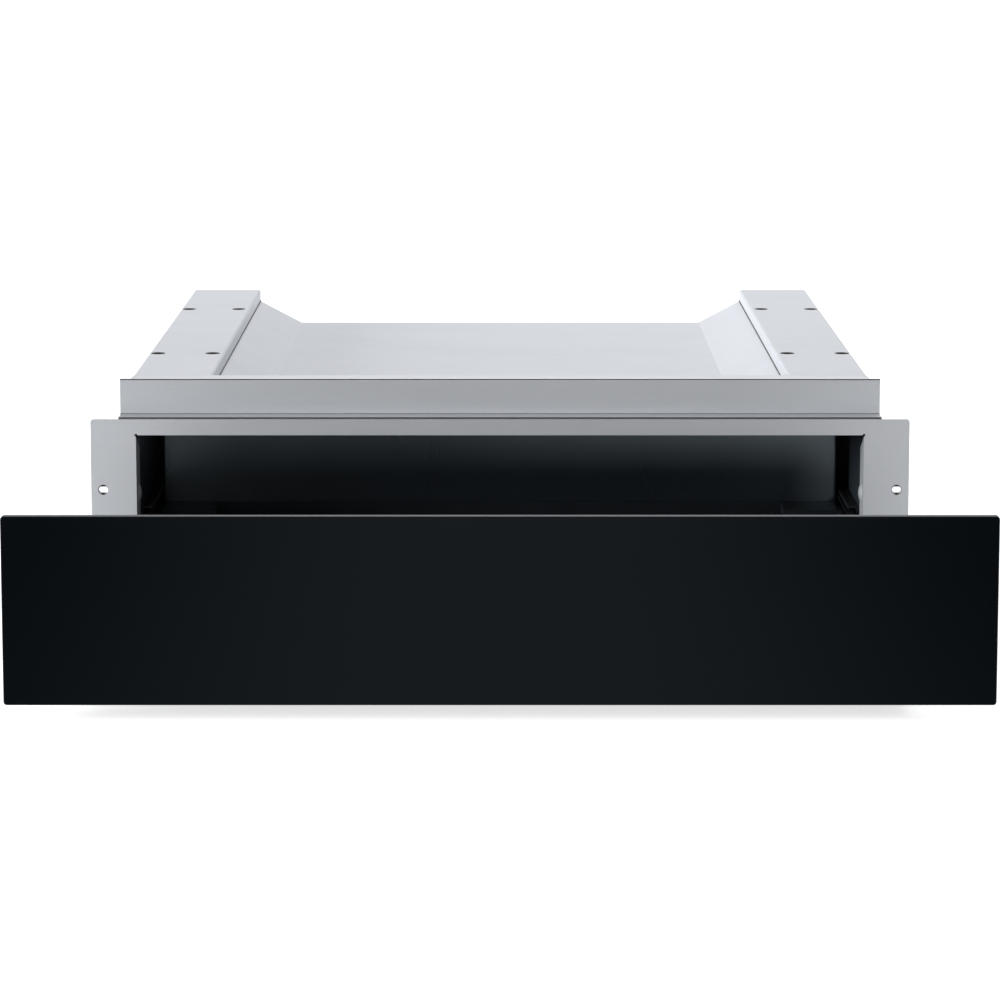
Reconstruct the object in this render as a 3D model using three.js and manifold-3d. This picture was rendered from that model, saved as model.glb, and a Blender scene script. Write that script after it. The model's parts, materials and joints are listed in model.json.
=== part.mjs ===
// A built-in warming drawer, pulled open to its stop. Millimetres, +X right, +Y back, +Z up.
// The origin is the middle of the housing's footprint, on the underside of its base pan.
// The drawer's own pieces are placed as they stand when it is shut, in groups that are then pulled out.

import * as THREE from "three";
import { mergeVertices } from "three/addons/utils/BufferGeometryUtils.js";
import Module from "manifold-3d";

const wasm = await Module();
wasm.setup();

// ---------------------------------------------------------------- driving sizes

// Overall
const housingWidth = 534.4;
const housingDepth = 528; // from the mounting frame's face to the rear panel's outer face
const housingHeight = 140; // up to the top fold of the fascia strip
const travel = 400; // how far the drawer pulls out

// Clearances
const seat = 0.3; // between two pieces that bear on each other

// Housing
const sheet = 1;
const bendRadius = 1.2; // on the middle of the sheet
const bendRelief = sheet + bendRadius; // open corner beside a fold, where an end wall stops
const panLip = 14; // up-turned edges of the base pan
const sideFlange = 12; // in-turned top edges of the side panels
const beadHeight = 16; // stiffening bead along each side panel
const beadDepth = 2;
const beadBase = 62;
const railWidth = 57.6;
const railHeight = 9.8; // from the roof's outer flats to the rails' bearing faces
const railHoleRadius = 5.7;
const railHoleInner = 9.2; // from the rail's inner edge
const railHoleOuter = 7; // from its outer edge
const railHoleFront = 143.5; // from the mounting frame's face
const railHoleRear = 128.2; // from the rear panel
const roofSink = 28.8; // how far the roof's middle lies below the housing's top
const roofSlopeRun = 35.8; // width of each sloping side of the roof
const ceilingGap = 6.4; // insulating space between the roof and the cavity's ceiling
const ceilingLip = 4;

// Mounting frame and fascia strip
const framePlate = 1.2;
const frameBand = 32.7; // width of the upright bands
const frameTopBand = 11.5;
const frameBottomBand = 5;
const frameBottom = 2;
const frameCornerRadius = 2;
const frameHemGap = 1.2; // from the fascia strip's ends to the frame's hemmed outer edges
const openingBelowTop = 38.8; // from the housing's top to the opening's upper edge
const returnDepth = 24; // in-turned sides of the opening
const returnMitre = 12;
const topReturnDepth = 12;
const reliefNotch = 0.9;
const dimpleRadius = 7; // pressed guide in each side return
const dimpleHeight = 2;
const dimpleZ = 56;
const frameScrewInset = 8.7;
const frameScrewZ = 61.3;
const frameScrewRadius = 2.1;
const frameScrewPlay = 1.1; // sideways, from the hole's middle to either end's centre
const frameCountersink = 5;
const fasciaOverhang = 7.8; // past the side panels
const fasciaSetback = 15; // behind the mounting frame's face
const fasciaFold = 17;
const ledgeStep = 1.5; // the ledge's height over the mounting frame
const ledgeLip = 10;

// Drawer
const linerInset = 4.9; // from the housing's outer side to the cavity's wall
const rearSpace = 35; // from the drawer's inner back to the rear panel's outer face
const trayBottom = 10;
const trayRim = 35; // height of the tray's low side walls over the base
const trayFrontRim = 56.7;
const backPanelBase = 12;
const backPanelTop = 97;
const backPanelReach = 1.2; // past the tray's sides
const backFlange = 5;
const frontOverhang = 2.5; // of the glass past the mounting frame, each side
const frontRise = 11.3; // of the glass over the mounting frame
const frontBottom = 9;
const frontGlass = 6;
const frontCornerRadius = 2;
const frontBevel = 0.5;
const closedGap = 4; // push-to-open play between the front and the mounting frame
const frontStandoff = 20; // from the glass's face to the mounting frame, drawer shut
const carrierInset = 6; // of the carrier's rim inside the glass's edge
const carrierLip = 14;
const carrierSheet = 1.2;
const bumperRadius = 4.5;
const bumperMargin = 1; // from the carrier's edge
const bumperHeight = 2.5;
const bumperTaper = 1;
const bracketSheet = 1.5;
const bracketReach = 27; // along the tray's side
const bracketOverlap = 3; // of its foot on the carrier's lip
const bracketBottom = 14;
const bracketTop = 52;

// Heated deck
const deckTop = 23.3;
const deckLedge = 9; // of the deck under the heating plate's rim
const plateWidth = 420;
const plateGlass = 4;
const plateCornerRadius = 10;
const plateBevel = 0.5;
const plateFrontMargin = 20; // from the control console
const plateRearMargin = 24; // from the tray's rear wall
const gasketHeight = 0.8;
const gasketLip = 0.5; // past the deck's ledge
const insulationHeight = 2;
const elementRadius = 2.5;
const elementPasses = 8;
const elementMargin = 42; // from the heating plate's edges to the outermost runs
const limiterRadius = 8; // of the thermostat's and the cut-out's flange
const limiterHeight = 6;
const limiterCan = 6; // radius of the can below the flange
const limiterFlange = 3;
const limiterX = 60;
const cornerBlockWidth = 39.4;
const cornerBlockDepth = 33;
const cornerBlockSheet = 2;

// Control console
const consoleTop = 58;
const consoleDepth = 38;
const consoleSlope = 7;
const knobRadius = 17;
const knobHeight = 13;
const knobSkirt = 1; // wider than the grip
const skirtHeight = 1.5;
const knobDraft = 0.8;
const knobChamfer = 1.5;
const knobGrips = 18;
const knobGripRadius = 0.9;
const pointerWidth = 1.6;
const pointerLength = 9;
const pointerHeight = 0.6;
const knobInset = 46; // from the tray's right wall
const knobSetback = 19; // from the console's front edge
const spindleRadius = 3;
const spindleClearance = 0.4;
const spindleFlat = 1.6; // from its axis to the flat that drives the knob
const switchWidth = 34;
const switchDepth = 26;
const switchHeight = 18;
const switchBoss = 3; // below its box
const pilotRadius = 4;
const pilotRim = 1;
const pilotHeight = 1.5;
const pilotOffset = 34; // to the left of the knob

// Telescopic slides: three channels a side, one inside the other, with balls between
const slideCentreZ = 26;
const slideHeight = 35;
const slideThickness = 10.4;
const slideSheet = 1;
const outerSetback = 2.8; // of the outer channel's flanges from the drawer's side
const middleSetback = 1.8; // and of the middle channel's
const slideBend = 0.6;
const slideFront = 30; // from the mounting frame's face, drawer shut
const slideRear = 48; // from the rear panel's outer face
const ballRadius = 1.5;
const ballPlay = 0.22; // between a ball and each of its races
const ballPitch = 36;
const ballsPerRow = 4;
const cageSheet = 0.4;
const cagePlay = 0.2; // between a cage and a channel
const cageOverhang = 8; // of a cage past its last ball

// Push latches
const latchX = 225;
const latchWidth = 16;
const latchHeight = 14;
const latchFront = 25; // from the rear panel's outer face to the latch's nose
const plungerRadius = 3;
const plungerTravel = 4;
const plungerPlay = 0.4; // from the shut drawer to the plunger, and around the plunger
const collarRadius = 4.2;
const collarLength = 1.6;
const stemRadius = 1.3;
const noseWall = 3.5;
const springRadius = 3.2; // to the middle of the wire
const springWire = 0.45;
const springTurns = 5;

// Supply
const terminalWidth = 62;
const terminalDepth = 22;
const terminalHeight = 40;
const terminalWall = 2;
const terminalX = -170;
const terminalBase = 12;
const coverHeight = 3;
const glandHoleRadius = 9;
const glandBore = 4;
const glandCollar = 12;
const glandCollarHeight = 2;
const glandNose = 6; // radius of its tapered end
const glandLength = 9; // outside the rear panel
const glandKey = 2;
const glandZ = 32;
const leadRadius = 2.8;
const leadEntryZ = 24; // where it enters the terminal box's side
const clampWidth = 18;
const clampDepth = 7;
const clampHeight = 12;
const clampX = 120;

// Vent slots
const slotLength = 26;
const slotWidth = 3.2;
const slotPitch = 7.5;
const slotCount = 5; // in each group
const baseVentX = 134;
const baseVentRear = 148; // from the rear panel
const sideVentEnd = 132; // from either end of a side panel
const rearVentX = 107;

// Beads pressed into the rear panel: height over the base, and half the length
const rearBeads = [
  [60, 205],
  [26, 112],
];
const rearBeadRadius = 5;
const rearBeadDepth = 1.5;

// ---------------------------------------------------------------- worked-out places

const faceY = -housingDepth / 2; // the mounting frame's face
const rearY = housingDepth / 2;
const sideX = housingWidth / 2;
const wallX = sideX - linerInset; // the cavity's walls, and the frame's opening
const railInnerX = sideX - railWidth;
const roofFlatX = railInnerX - roofSlopeRun;
const railTop = housingHeight; // flush with the fascia strip's fold
const roofEdgeTop = railTop - railHeight;
const roofTop = housingHeight - roofSink;
const sideTop = roofEdgeTop - sheet - seat;
const openingTop = housingHeight - openingBelowTop;
const openingBottom = frameBottom + frameBottomBand;
const frameTop = openingTop + frameTopBand;
const frameX = wallX + frameBand;
const ledgeTop = frameTop + ledgeStep;
const fasciaX = sideX + fasciaOverhang;
const fasciaY = faceY + fasciaSetback;
const foldRearY = fasciaY + fasciaFold;
const roofFrontY = fasciaY + sheet + seat;
const hemX = fasciaX + frameHemGap;
const ceilingTop = roofTop - sheet - ceilingGap;
const innerX = sideX - sheet - seat; // what fits between the side panels
const innerRearY = rearY - sheet - seat;

const frontX = frameX + frontOverhang;
const frontTop = frameTop + frontRise;
const frontFaceY = faceY - frontStandoff;
const carrierFrontY = frontFaceY + frontGlass + seat;
const carrierRearY = faceY - closedGap;
const slideOuterX = wallX - seat; // the outer channel's back
const trayX = slideOuterX - slideThickness - seat;
const trayFrontY = carrierRearY + seat;
const trayRearY = rearY - rearSpace + sheet;
const plateX = plateWidth / 2;
const consoleRearY = trayFrontY + consoleDepth + consoleSlope;
const plateFrontY = consoleRearY + plateFrontMargin;
const plateRearY = trayRearY - sheet - plateRearMargin;
const gasketTop = deckTop + seat + gasketHeight;
const plateTop = gasketTop + seat + plateGlass;
const panelRearY = trayRearY + seat + sheet; // the back panel's rear face
const trayFloorTop = trayBottom + sheet;
const insulationTop = trayFloorTop + seat + insulationHeight;

const SIDES = [
  ["left", -1],
  ["right", 1],
];

// ---------------------------------------------------------------- materials

const finish = (color, roughness, metalness) =>
  new THREE.MeshStandardMaterial({ color, roughness, metalness });

const zincSheet = finish(0xc8cbce, 0.42, 0.85);
const brushedSteel = finish(0xb4b8bb, 0.34, 0.95);
const rollerSteel = finish(0x54575a, 0.36, 1);
const blackEnamel = finish(0x101316, 0.38, 0.3);
const blackGlass = finish(0x0a0d11, 0.06, 0);
const blackPlastic = finish(0x17181a, 0.5, 0);
const palePlastic = finish(0xd9dadb, 0.5, 0);
const rubber = finish(0x1c1c1d, 0.85, 0);
const silicone = finish(0x3a3a3c, 0.8, 0);
const mineralWool = finish(0xc9b98f, 0.95, 0);
const springSteel = finish(0x8d9093, 0.3, 1);
const amberLens = finish(0xd88a2a, 0.2, 0);

// ---------------------------------------------------------------- solids

// A closed three.js geometry as a solid that can be joined and cut.
function toSolid(geometry) {
  const bare = geometry.clone();
  bare.deleteAttribute("normal");
  bare.deleteAttribute("uv");
  const merged = mergeVertices(bare, 1e-4);
  const vertProperties = new Float32Array(merged.attributes.position.array);
  const triVerts = new Uint32Array(merged.index.array);
  return new wasm.Manifold(new wasm.Mesh({ numProp: 3, vertProperties, triVerts }));
}

function toGeometry(solid) {
  const mesh = solid.getMesh();
  const geometry = new THREE.BufferGeometry();
  geometry.setAttribute("position", new THREE.BufferAttribute(mesh.vertProperties, 3));
  geometry.setIndex(new THREE.BufferAttribute(mesh.triVerts, 1));
  geometry.computeVertexNormals();
  return geometry;
}

const join = (...solids) => solids.reduce((whole, next) => whole.add(next));
const cut = (base, ...tools) => tools.reduce((rest, tool) => rest.subtract(tool), base);

// A box between two corners, given in either order.
function block([x0, y0, z0], [x1, y1, z1]) {
  const size = [Math.abs(x1 - x0), Math.abs(y1 - y0), Math.abs(z1 - z0)];
  const geometry = new THREE.BoxGeometry(...size);
  geometry.translate((x0 + x1) / 2, (y0 + y1) / 2, (z0 + z1) / 2);
  return toSolid(geometry);
}

// A round bar along "x", "y" or "z" between two places on that axis.
function bar(axis, radius, from, to, [a, b], sides = 16, endRadius = radius) {
  const geometry = new THREE.CylinderGeometry(endRadius, radius, to - from, sides);
  geometry.translate(0, (from + to) / 2, 0);
  if (axis === "x") geometry.rotateZ(-Math.PI / 2).translate(0, a, b);
  if (axis === "y") geometry.translate(a, 0, b);
  if (axis === "z") geometry.rotateX(Math.PI / 2).translate(a, b, 0);
  return toSolid(geometry);
}

// Two round bars side by side, and all that lies between them.
const stretched = (ends) => wasm.Manifold.hull(ends);

// A flat outline carried along an axis: outlines are drawn as (y, z), (x, z) or (x, y).
const CARRY = {
  x: [new THREE.Vector3(0, 1, 0), new THREE.Vector3(0, 0, 1), new THREE.Vector3(1, 0, 0)],
  y: [new THREE.Vector3(1, 0, 0), new THREE.Vector3(0, 0, 1), new THREE.Vector3(0, -1, 0)],
  z: [new THREE.Vector3(1, 0, 0), new THREE.Vector3(0, 1, 0), new THREE.Vector3(0, 0, 1)],
};

function carry(axis, shape, from, to, bevel = 0, curveSegments = 3) {
  const geometry = new THREE.ExtrudeGeometry(shape, {
    depth: to - from - 2 * bevel,
    curveSegments,
    bevelEnabled: bevel > 0,
    bevelThickness: bevel,
    bevelSize: bevel,
    bevelOffset: -bevel,
    bevelSegments: 1,
  });
  geometry.applyMatrix4(new THREE.Matrix4().makeBasis(...CARRY[axis]));
  const shift = { x: [from + bevel, 0, 0], y: [0, to - bevel, 0], z: [0, 0, from + bevel] };
  geometry.translate(...shift[axis]);
  return toSolid(geometry);
}

const pointList = (pairs) => pairs.map(([a, b]) => new THREE.Vector2(a, b));
const outline = (pairs) => new THREE.Shape(pointList(pairs));

function roundedRectangle(x0, x1, z0, z1, radius) {
  const shape = new THREE.Shape();
  shape.absarc(x1 - radius, z0 + radius, radius, -Math.PI / 2, 0);
  shape.absarc(x1 - radius, z1 - radius, radius, 0, Math.PI / 2);
  shape.absarc(x0 + radius, z1 - radius, radius, Math.PI / 2, Math.PI);
  shape.absarc(x0 + radius, z0 + radius, radius, Math.PI, 1.5 * Math.PI);
  return shape;
}

// ---------------------------------------------------------------- folded sheet

// The path shifted sideways, to the right of its travel, with mitred corners.
function shiftPath(points, distance) {
  return points.map((point, i) => {
    const before = i > 0 ? point.clone().sub(points[i - 1]).normalize() : null;
    const after = i < points.length - 1 ? points[i + 1].clone().sub(point).normalize() : null;
    const along = before && after ? before.clone().add(after).normalize() : before || after;
    const right = new THREE.Vector2(along.y, -along.x);
    const reach = before && after ? distance / along.dot(after) : distance;
    return point.clone().addScaledVector(right, reach);
  });
}

// The path with each corner turned through an arc.
function roundPath(points, radius, steps) {
  const rounded = [points[0]];
  for (let i = 1; i < points.length - 1; i++) {
    const into = points[i].clone().sub(points[i - 1]);
    const away = points[i + 1].clone().sub(points[i]);
    const turn = Math.atan2(into.cross(away), into.dot(away));
    const fits = Math.min(into.length(), away.length()) * 0.45;
    const run = Math.min(radius * Math.tan(Math.abs(turn) / 2), fits);
    const bend = run / Math.tan(Math.abs(turn) / 2);
    const start = points[i].clone().addScaledVector(into.normalize(), -run);
    const toCentre = new THREE.Vector2(-into.y, into.x).multiplyScalar(Math.sign(turn) * bend);
    const centre = start.clone().add(toCentre);
    for (let k = 0; k <= steps; k++)
      rounded.push(start.clone().rotateAround(centre, (turn * k) / steps));
  }
  rounded.push(points[points.length - 1]);
  return rounded;
}

// The section of a folded sheet. The path is one face, and the metal lies to its right.
function foldedSheet(pairs, thickness = sheet, radius = bendRadius, steps = 3) {
  const middle = roundPath(shiftPath(pointList(pairs), thickness / 2), radius, steps);
  const left = shiftPath(middle, -thickness / 2);
  const right = shiftPath(middle, thickness / 2);
  return new THREE.Shape([...left, ...right.reverse()]);
}

// The same path for either side of the object: it is drawn for the right.
const mirrored = (pairs, side) =>
  side > 0 ? pairs : pairs.map(([x, other]) => [-x, other]).reverse();

// The space between two places at the same side of the object.
const across = (side, near, far) => (side > 0 ? [near, far] : [-far, -near]);

// ---------------------------------------------------------------- assembly tree

const warmingDrawer = new THREE.Group();
const drawer = new THREE.Group();
const middles = new THREE.Group();
const outerCages = new THREE.Group();
const innerCages = new THREE.Group();
drawer.position.y = -travel;
middles.position.y = -travel / 2;
outerCages.position.y = -travel / 4;
innerCages.position.y = (-3 * travel) / 4;
warmingDrawer.add(drawer, middles, outerCages, innerCages);

function place(name, solid, material, group = warmingDrawer) {
  const mesh = new THREE.Mesh(toGeometry(solid), material);
  mesh.name = name;
  group.add(mesh);
}

// ---------------------------------------------------------------- vents

// Stadium slots side by side, as cutters through a panel that is square to the axis.
function slotCutters(axis, [a, b], from, to) {
  const cutters = [];
  for (let i = 0; i < slotCount; i++) {
    const shift = (i - (slotCount - 1) / 2) * slotPitch;
    const half = slotLength / 2 - slotWidth / 2;
    const shape = new THREE.Shape();
    shape.absarc(a + shift, b + half, slotWidth / 2, 0, Math.PI);
    shape.absarc(a + shift, b - half, slotWidth / 2, Math.PI, 2 * Math.PI);
    cutters.push(carry(axis, shape, from, to, 0, 2));
  }
  return cutters;
}

// ---------------------------------------------------------------- housing

// An up-turned end of a folded pan, from the middle of its floor.
const endWall = (halfWidth, y, base, top) =>
  block(
    [-halfWidth + bendRelief, y, base + sheet / 2],
    [halfWidth - bendRelief, y + sheet, top],
  );

function basePan() {
  const floorAndSides = foldedSheet([
    [innerX, panLip],
    [innerX, 0],
    [-innerX, 0],
    [-innerX, panLip],
  ]);
  const frontY = faceY + framePlate + seat;
  const pan = join(
    carry("y", floorAndSides, frontY, innerRearY),
    endWall(innerX, frontY, 0, openingBottom - seat),
    endWall(innerX, innerRearY - sheet, 0, panLip),
  );
  const vents = SIDES.flatMap(([, side]) =>
    slotCutters("z", [side * baseVentX, rearY - baseVentRear], -sheet, 2 * sheet),
  );
  return cut(pan, ...vents);
}

function sidePanel(side) {
  const beadTop = beadBase + beadHeight;
  const section = foldedSheet(
    mirrored(
      [
        [sideX - sideFlange, sideTop],
        [sideX, sideTop],
        [sideX, beadTop],
        [sideX - beadDepth, beadTop - beadDepth],
        [sideX - beadDepth, beadBase + beadDepth],
        [sideX, beadBase],
        [sideX, 0],
      ],
      side,
    ),
  );
  const panel = carry("y", section, faceY + framePlate + seat, innerRearY);
  const ventX = across(side, sideX - 2 * sheet, sideX + sheet);
  const ventZ = (beadTop + sideTop) / 2;
  const vents = [faceY + sideVentEnd, rearY - sideVentEnd].flatMap((y) =>
    slotCutters("x", [y, ventZ], ...ventX),
  );
  const fasciaNotch = block(
    [side * (sideX - 2 * sideFlange), faceY, ledgeTop - ledgeLip - seat],
    [side * (sideX + sheet), roofFrontY, sideTop + sheet],
  );
  return cut(panel, fasciaNotch, ...vents);
}

// A bead's tapered shape between two planes, where its radius at the panel's face is given.
function beadShape([z, halfLength], faceRadius, from, to) {
  const ends = [-halfLength, halfLength].map((x) =>
    bar("y", faceRadius + from - rearY, from, to, [x, z], 12, faceRadius + to - rearY),
  );
  return stretched(ends);
}

// The rear panel's upper edge follows the roof. Its beads stand out on the inside.
function rearPanel() {
  const under = sheet + seat;
  const right = [
    [roofFlatX, roofTop - under],
    [railInnerX, roofEdgeTop - under],
    [sideX, roofEdgeTop - under],
    [sideX, 0],
  ];
  const shape = outline([...right, ...mirrored(right, -1)]);
  const panel = carry("y", shape, rearY - sheet, rearY);
  const span = [rearY - 2 * sheet, rearY + sheet];
  const ventZ = roofTop - sheet - slotLength;
  const vents = [-1, 0, 1].flatMap((side) =>
    slotCutters("y", [side * rearVentX, ventZ], ...span),
  );
  const floorY = rearY - rearBeadDepth;
  const wall = Math.SQRT2 * sheet;
  const ridges = rearBeads.map((bead) =>
    beadShape(bead, rearBeadRadius + wall, floorY - sheet, rearY - sheet / 2),
  );
  const hollows = rearBeads.map((bead) => beadShape(bead, rearBeadRadius, floorY, rearY + sheet));
  const glandHole = bar("y", glandHoleRadius, ...span, [terminalX, glandZ], 24);
  return cut(join(panel, ...ridges), ...hollows, ...vents, glandHole);
}

function roofCover() {
  const right = [
    [roofFlatX, roofTop],
    [railInnerX, roofEdgeTop],
    [sideX, roofEdgeTop],
  ];
  const section = foldedSheet([...mirrored(right, -1), ...right]);
  return carry("y", section, roofFrontY, rearY);
}

// A channel that stands on the roof's edge. A tongue at its front end steps down under the fold.
function supportRail(side) {
  const foot = roofEdgeTop + seat;
  const section = foldedSheet(
    mirrored(
      [
        [railInnerX, foot],
        [railInnerX, railTop],
        [sideX, railTop],
        [sideX, foot],
      ],
      side,
    ),
  );
  const frontY = foldRearY + seat;
  const tongueTop = housingHeight - sheet - seat;
  const near = side * (railInnerX + bendRelief);
  const far = side * (sideX - bendRelief);
  const rail = join(
    carry("y", section, frontY, rearY),
    block([near, frontY, tongueTop - sheet], [far, frontY + sheet, railTop - sheet / 2]),
    block([near, roofFrontY, tongueTop - sheet], [far, frontY + sheet, tongueTop]),
  );
  const holes = [railInnerX + railHoleInner, sideX - railHoleOuter].flatMap((x) =>
    [faceY + railHoleFront, rearY - railHoleRear].map((y) =>
      bar("z", railHoleRadius, railTop - 2 * sheet, railTop + sheet, [side * x, y], 18),
    ),
  );
  return cut(rail, ...holes);
}

// One folded strip: a lip behind the mounting frame, a ledge, the face, and a fold onto the rails.
function fasciaStrip() {
  const lipY = faceY + framePlate + seat;
  const section = foldedSheet([
    [lipY, ledgeTop - ledgeLip],
    [lipY, ledgeTop],
    [fasciaY, ledgeTop],
    [fasciaY, housingHeight],
    [foldRearY, housingHeight],
  ]);
  const strip = carry("x", section, -fasciaX, fasciaX);
  const trims = SIDES.map(([, side]) =>
    block(
      [side * sideX, fasciaY + 2 * sheet, ledgeTop + sheet],
      [side * (fasciaX + sheet), foldRearY + sheet, housingHeight + sheet],
    ),
  );
  return cut(strip, ...trims);
}

// The opening's outline, with relief notches where the top and side returns meet.
function openingOutline() {
  const right = [
    [wallX, openingBottom],
    [wallX, openingTop - reliefNotch],
    [wallX + reliefNotch, openingTop - reliefNotch],
    [wallX + reliefNotch, openingTop + reliefNotch],
    [wallX - reliefNotch, openingTop + reliefNotch],
    [wallX - reliefNotch, openingTop],
  ];
  return outline([...right, ...mirrored(right, -1)]);
}

// A flange with hemmed outer edges, in-turned sides and an in-turned top.
function mountingFrame() {
  const flange = roundedRectangle(-frameX, frameX, frameBottom, frameTop, frameCornerRadius);
  const rearFace = faceY + 2 * framePlate;
  const betweenHems = block(
    [-hemX, faceY + framePlate, frameBottom - sheet],
    [hemX, rearFace + sheet, frameTop + sheet],
  );
  const opening = carry("y", openingOutline(), faceY - sheet, rearFace + sheet);
  const sideReturn = outline([
    [faceY, openingBottom],
    [faceY + returnDepth, openingBottom],
    [faceY + returnDepth, openingTop - reliefNotch - returnMitre],
    [faceY + framePlate, openingTop - reliefNotch],
    [faceY, openingTop - reliefNotch],
  ]);
  const returns = SIDES.flatMap(([, side]) => [
    carry("x", sideReturn, ...across(side, wallX, wallX + framePlate)),
    guideDimple(side),
  ]);
  const topReturn = block(
    [-wallX + reliefNotch, faceY, openingTop],
    [wallX - reliefNotch, faceY + topReturnDepth, openingTop + framePlate],
  );
  return cut(
    join(cut(carry("y", flange, faceY, rearFace), betweenHems, opening), ...returns, topReturn),
    ...SIDES.map(([, side]) => frameScrewHole(side)),
  );
}

// A shallow round guide, pressed inwards from the frame's side return.
function guideDimple(side) {
  const ball = (dimpleRadius ** 2 + dimpleHeight ** 2) / (2 * dimpleHeight);
  const steps = 3;
  const profile = [new THREE.Vector2(0, -framePlate / 2)];
  profile.push(new THREE.Vector2(dimpleRadius, -framePlate / 2));
  for (let k = 0; k <= steps; k++) {
    const radius = dimpleRadius * (1 - k / steps);
    const height = Math.sqrt(ball ** 2 - radius ** 2) - ball + dimpleHeight;
    profile.push(new THREE.Vector2(radius, Math.max(height, 0)));
  }
  const geometry = new THREE.LatheGeometry(profile, 16);
  geometry.rotateZ((side * Math.PI) / 2);
  geometry.translate(side * wallX, faceY + returnDepth - dimpleRadius - sheet, dimpleZ);
  return toSolid(geometry);
}

// An oblong hole with a round countersink.
function frameScrewHole(side) {
  const x = side * (frameX - frameScrewInset);
  const sinkFrom = faceY - sheet / 2;
  const sinkTo = faceY + (2 * framePlate) / 3;
  const ends = [-frameScrewPlay, frameScrewPlay].map((play) =>
    bar("y", frameScrewRadius, faceY - sheet, faceY + 3 * framePlate, [x + play, frameScrewZ]),
  );
  const sink = bar("y", frameCountersink, sinkFrom, sinkTo, [x, frameScrewZ], 20, frameScrewRadius);
  return join(stretched(ends), sink);
}

function sideLiner(side) {
  const top = ceilingTop - sheet - seat;
  const bottom = sheet + seat;
  const section = foldedSheet(
    mirrored(
      [
        [innerX - sheet - seat, bottom],
        [wallX, bottom],
        [wallX, top],
        [innerX, top],
      ],
      side,
    ),
  );
  return carry("y", section, faceY + returnDepth + seat, innerRearY - sheet - seat);
}

function cavityCeiling() {
  const section = foldedSheet([
    [innerX, ceilingTop + ceilingLip],
    [innerX, ceilingTop - sheet],
    [-innerX, ceilingTop - sheet],
    [-innerX, ceilingTop + ceilingLip],
  ]);
  return carry("y", section, faceY + topReturnDepth + seat, innerRearY);
}

// ---------------------------------------------------------------- telescopic slides

// A slide's section is laid out from the outer channel's back (u = 0) inwards, and up and down from
// its centre line. The channels take their heights from the balls between them, and the gaps
// between their backs from the cages.
const race = 2 * (ballRadius + ballPlay);
const cageGap = cageSheet + 2 * cagePlay;
const outerReach = slideThickness - outerSetback;
const outerLip = race / 3 + slideSheet;
const middleHeight = slideHeight - 2 * slideSheet - 2 * race;
const middleBack = slideSheet + cageGap;
const middleReach = slideThickness - middleSetback;
const innerHeight = middleHeight - 2 * slideSheet - 2 * race;
const innerFrom = middleBack + slideSheet + cageGap;
const slideFrontY = faceY + slideFront;
const slideRearY = rearY - slideRear;
const slideX = (side, u) => side * (slideOuterX - u);

// A channel whose back is at u = back and whose flanges run to u = reach.
function channel(side, height, back, reach, lip = 0) {
  const half = height / 2;
  const path = [
    [reach, slideCentreZ + half],
    [back, slideCentreZ + half],
    [back, slideCentreZ - half],
    [reach, slideCentreZ - half],
  ];
  if (lip > 0) {
    path.unshift([reach, slideCentreZ + half - lip]);
    path.push([reach, slideCentreZ - half + lip]);
  }
  const placed = path.map(([u, z]) => [slideX(side, u), z]);
  if ((side > 0) !== (reach > back)) placed.reverse();
  const section = foldedSheet(placed, slideSheet, slideBend, 2);
  return carry("y", section, slideFrontY, slideRearY);
}

// A pressed strip that keeps two rows of balls apart; balls and strip are one piece here.
function ballCage(side, outerChannelHeight, back, reach) {
  const ballZ = (outerChannelHeight - race) / 2 - slideSheet;
  const half = ballZ + cageSheet / 2;
  const placed = [
    [slideX(side, reach), slideCentreZ + half],
    [slideX(side, back), slideCentreZ + half],
    [slideX(side, back), slideCentreZ - half],
    [slideX(side, reach), slideCentreZ - half],
  ];
  if (side < 0) placed.reverse();
  const section = foldedSheet(placed, cageSheet, cageSheet, 1);
  const length = (ballsPerRow - 1) * ballPitch + 2 * cageOverhang;
  const middleY = (slideFrontY + slideRearY) / 2;
  const strip = carry("y", section, middleY - length / 2, middleY + length / 2);
  const ball = new THREE.SphereGeometry(ballRadius, 6, 4);
  const ballX = slideX(side, (back + cageSheet + reach) / 2 + cageSheet);
  const balls = [];
  for (let i = 0; i < ballsPerRow; i++) {
    const y = middleY + (i - (ballsPerRow - 1) / 2) * ballPitch;
    for (const up of [-1, 1])
      balls.push(toSolid(ball.clone().translate(ballX, y, slideCentreZ + up * ballZ)));
  }
  return join(strip, ...balls);
}

const outerCage = (side) =>
  ballCage(side, slideHeight, slideSheet + cagePlay, outerReach - slideSheet - cagePlay);

const innerCage = (side) =>
  ballCage(side, middleHeight, middleBack + slideSheet + cagePlay, outerReach);

// ---------------------------------------------------------------- push latches

const latchFrontY = rearY - latchFront;
const latchRearY = innerRearY;
const plungerTipY = panelRearY + plungerPlay;
const collarFrontY = latchFrontY + noseWall + plungerPlay;
const collarRearY = collarFrontY + collarLength;
const chamberRearY = latchRearY - noseWall;

function latchBody(side) {
  const at = [side * latchX, slideCentreZ];
  const bore = plungerRadius + plungerPlay;
  const chamber = collarRadius + plungerPlay;
  const shell = block(
    [at[0] - latchWidth / 2, latchFrontY, at[1] - latchHeight / 2],
    [at[0] + latchWidth / 2, latchRearY, at[1] + latchHeight / 2],
  );
  const window = block(
    [at[0] - plungerRadius, latchFrontY + noseWall, at[1]],
    [at[0] + plungerRadius, chamberRearY, at[1] + latchHeight],
  );
  return cut(
    shell,
    bar("y", bore, latchFrontY - sheet, latchFrontY + 2 * noseWall, at),
    bar("y", chamber, latchFrontY + noseWall, chamberRearY, at, 20),
    window,
  );
}

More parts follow.
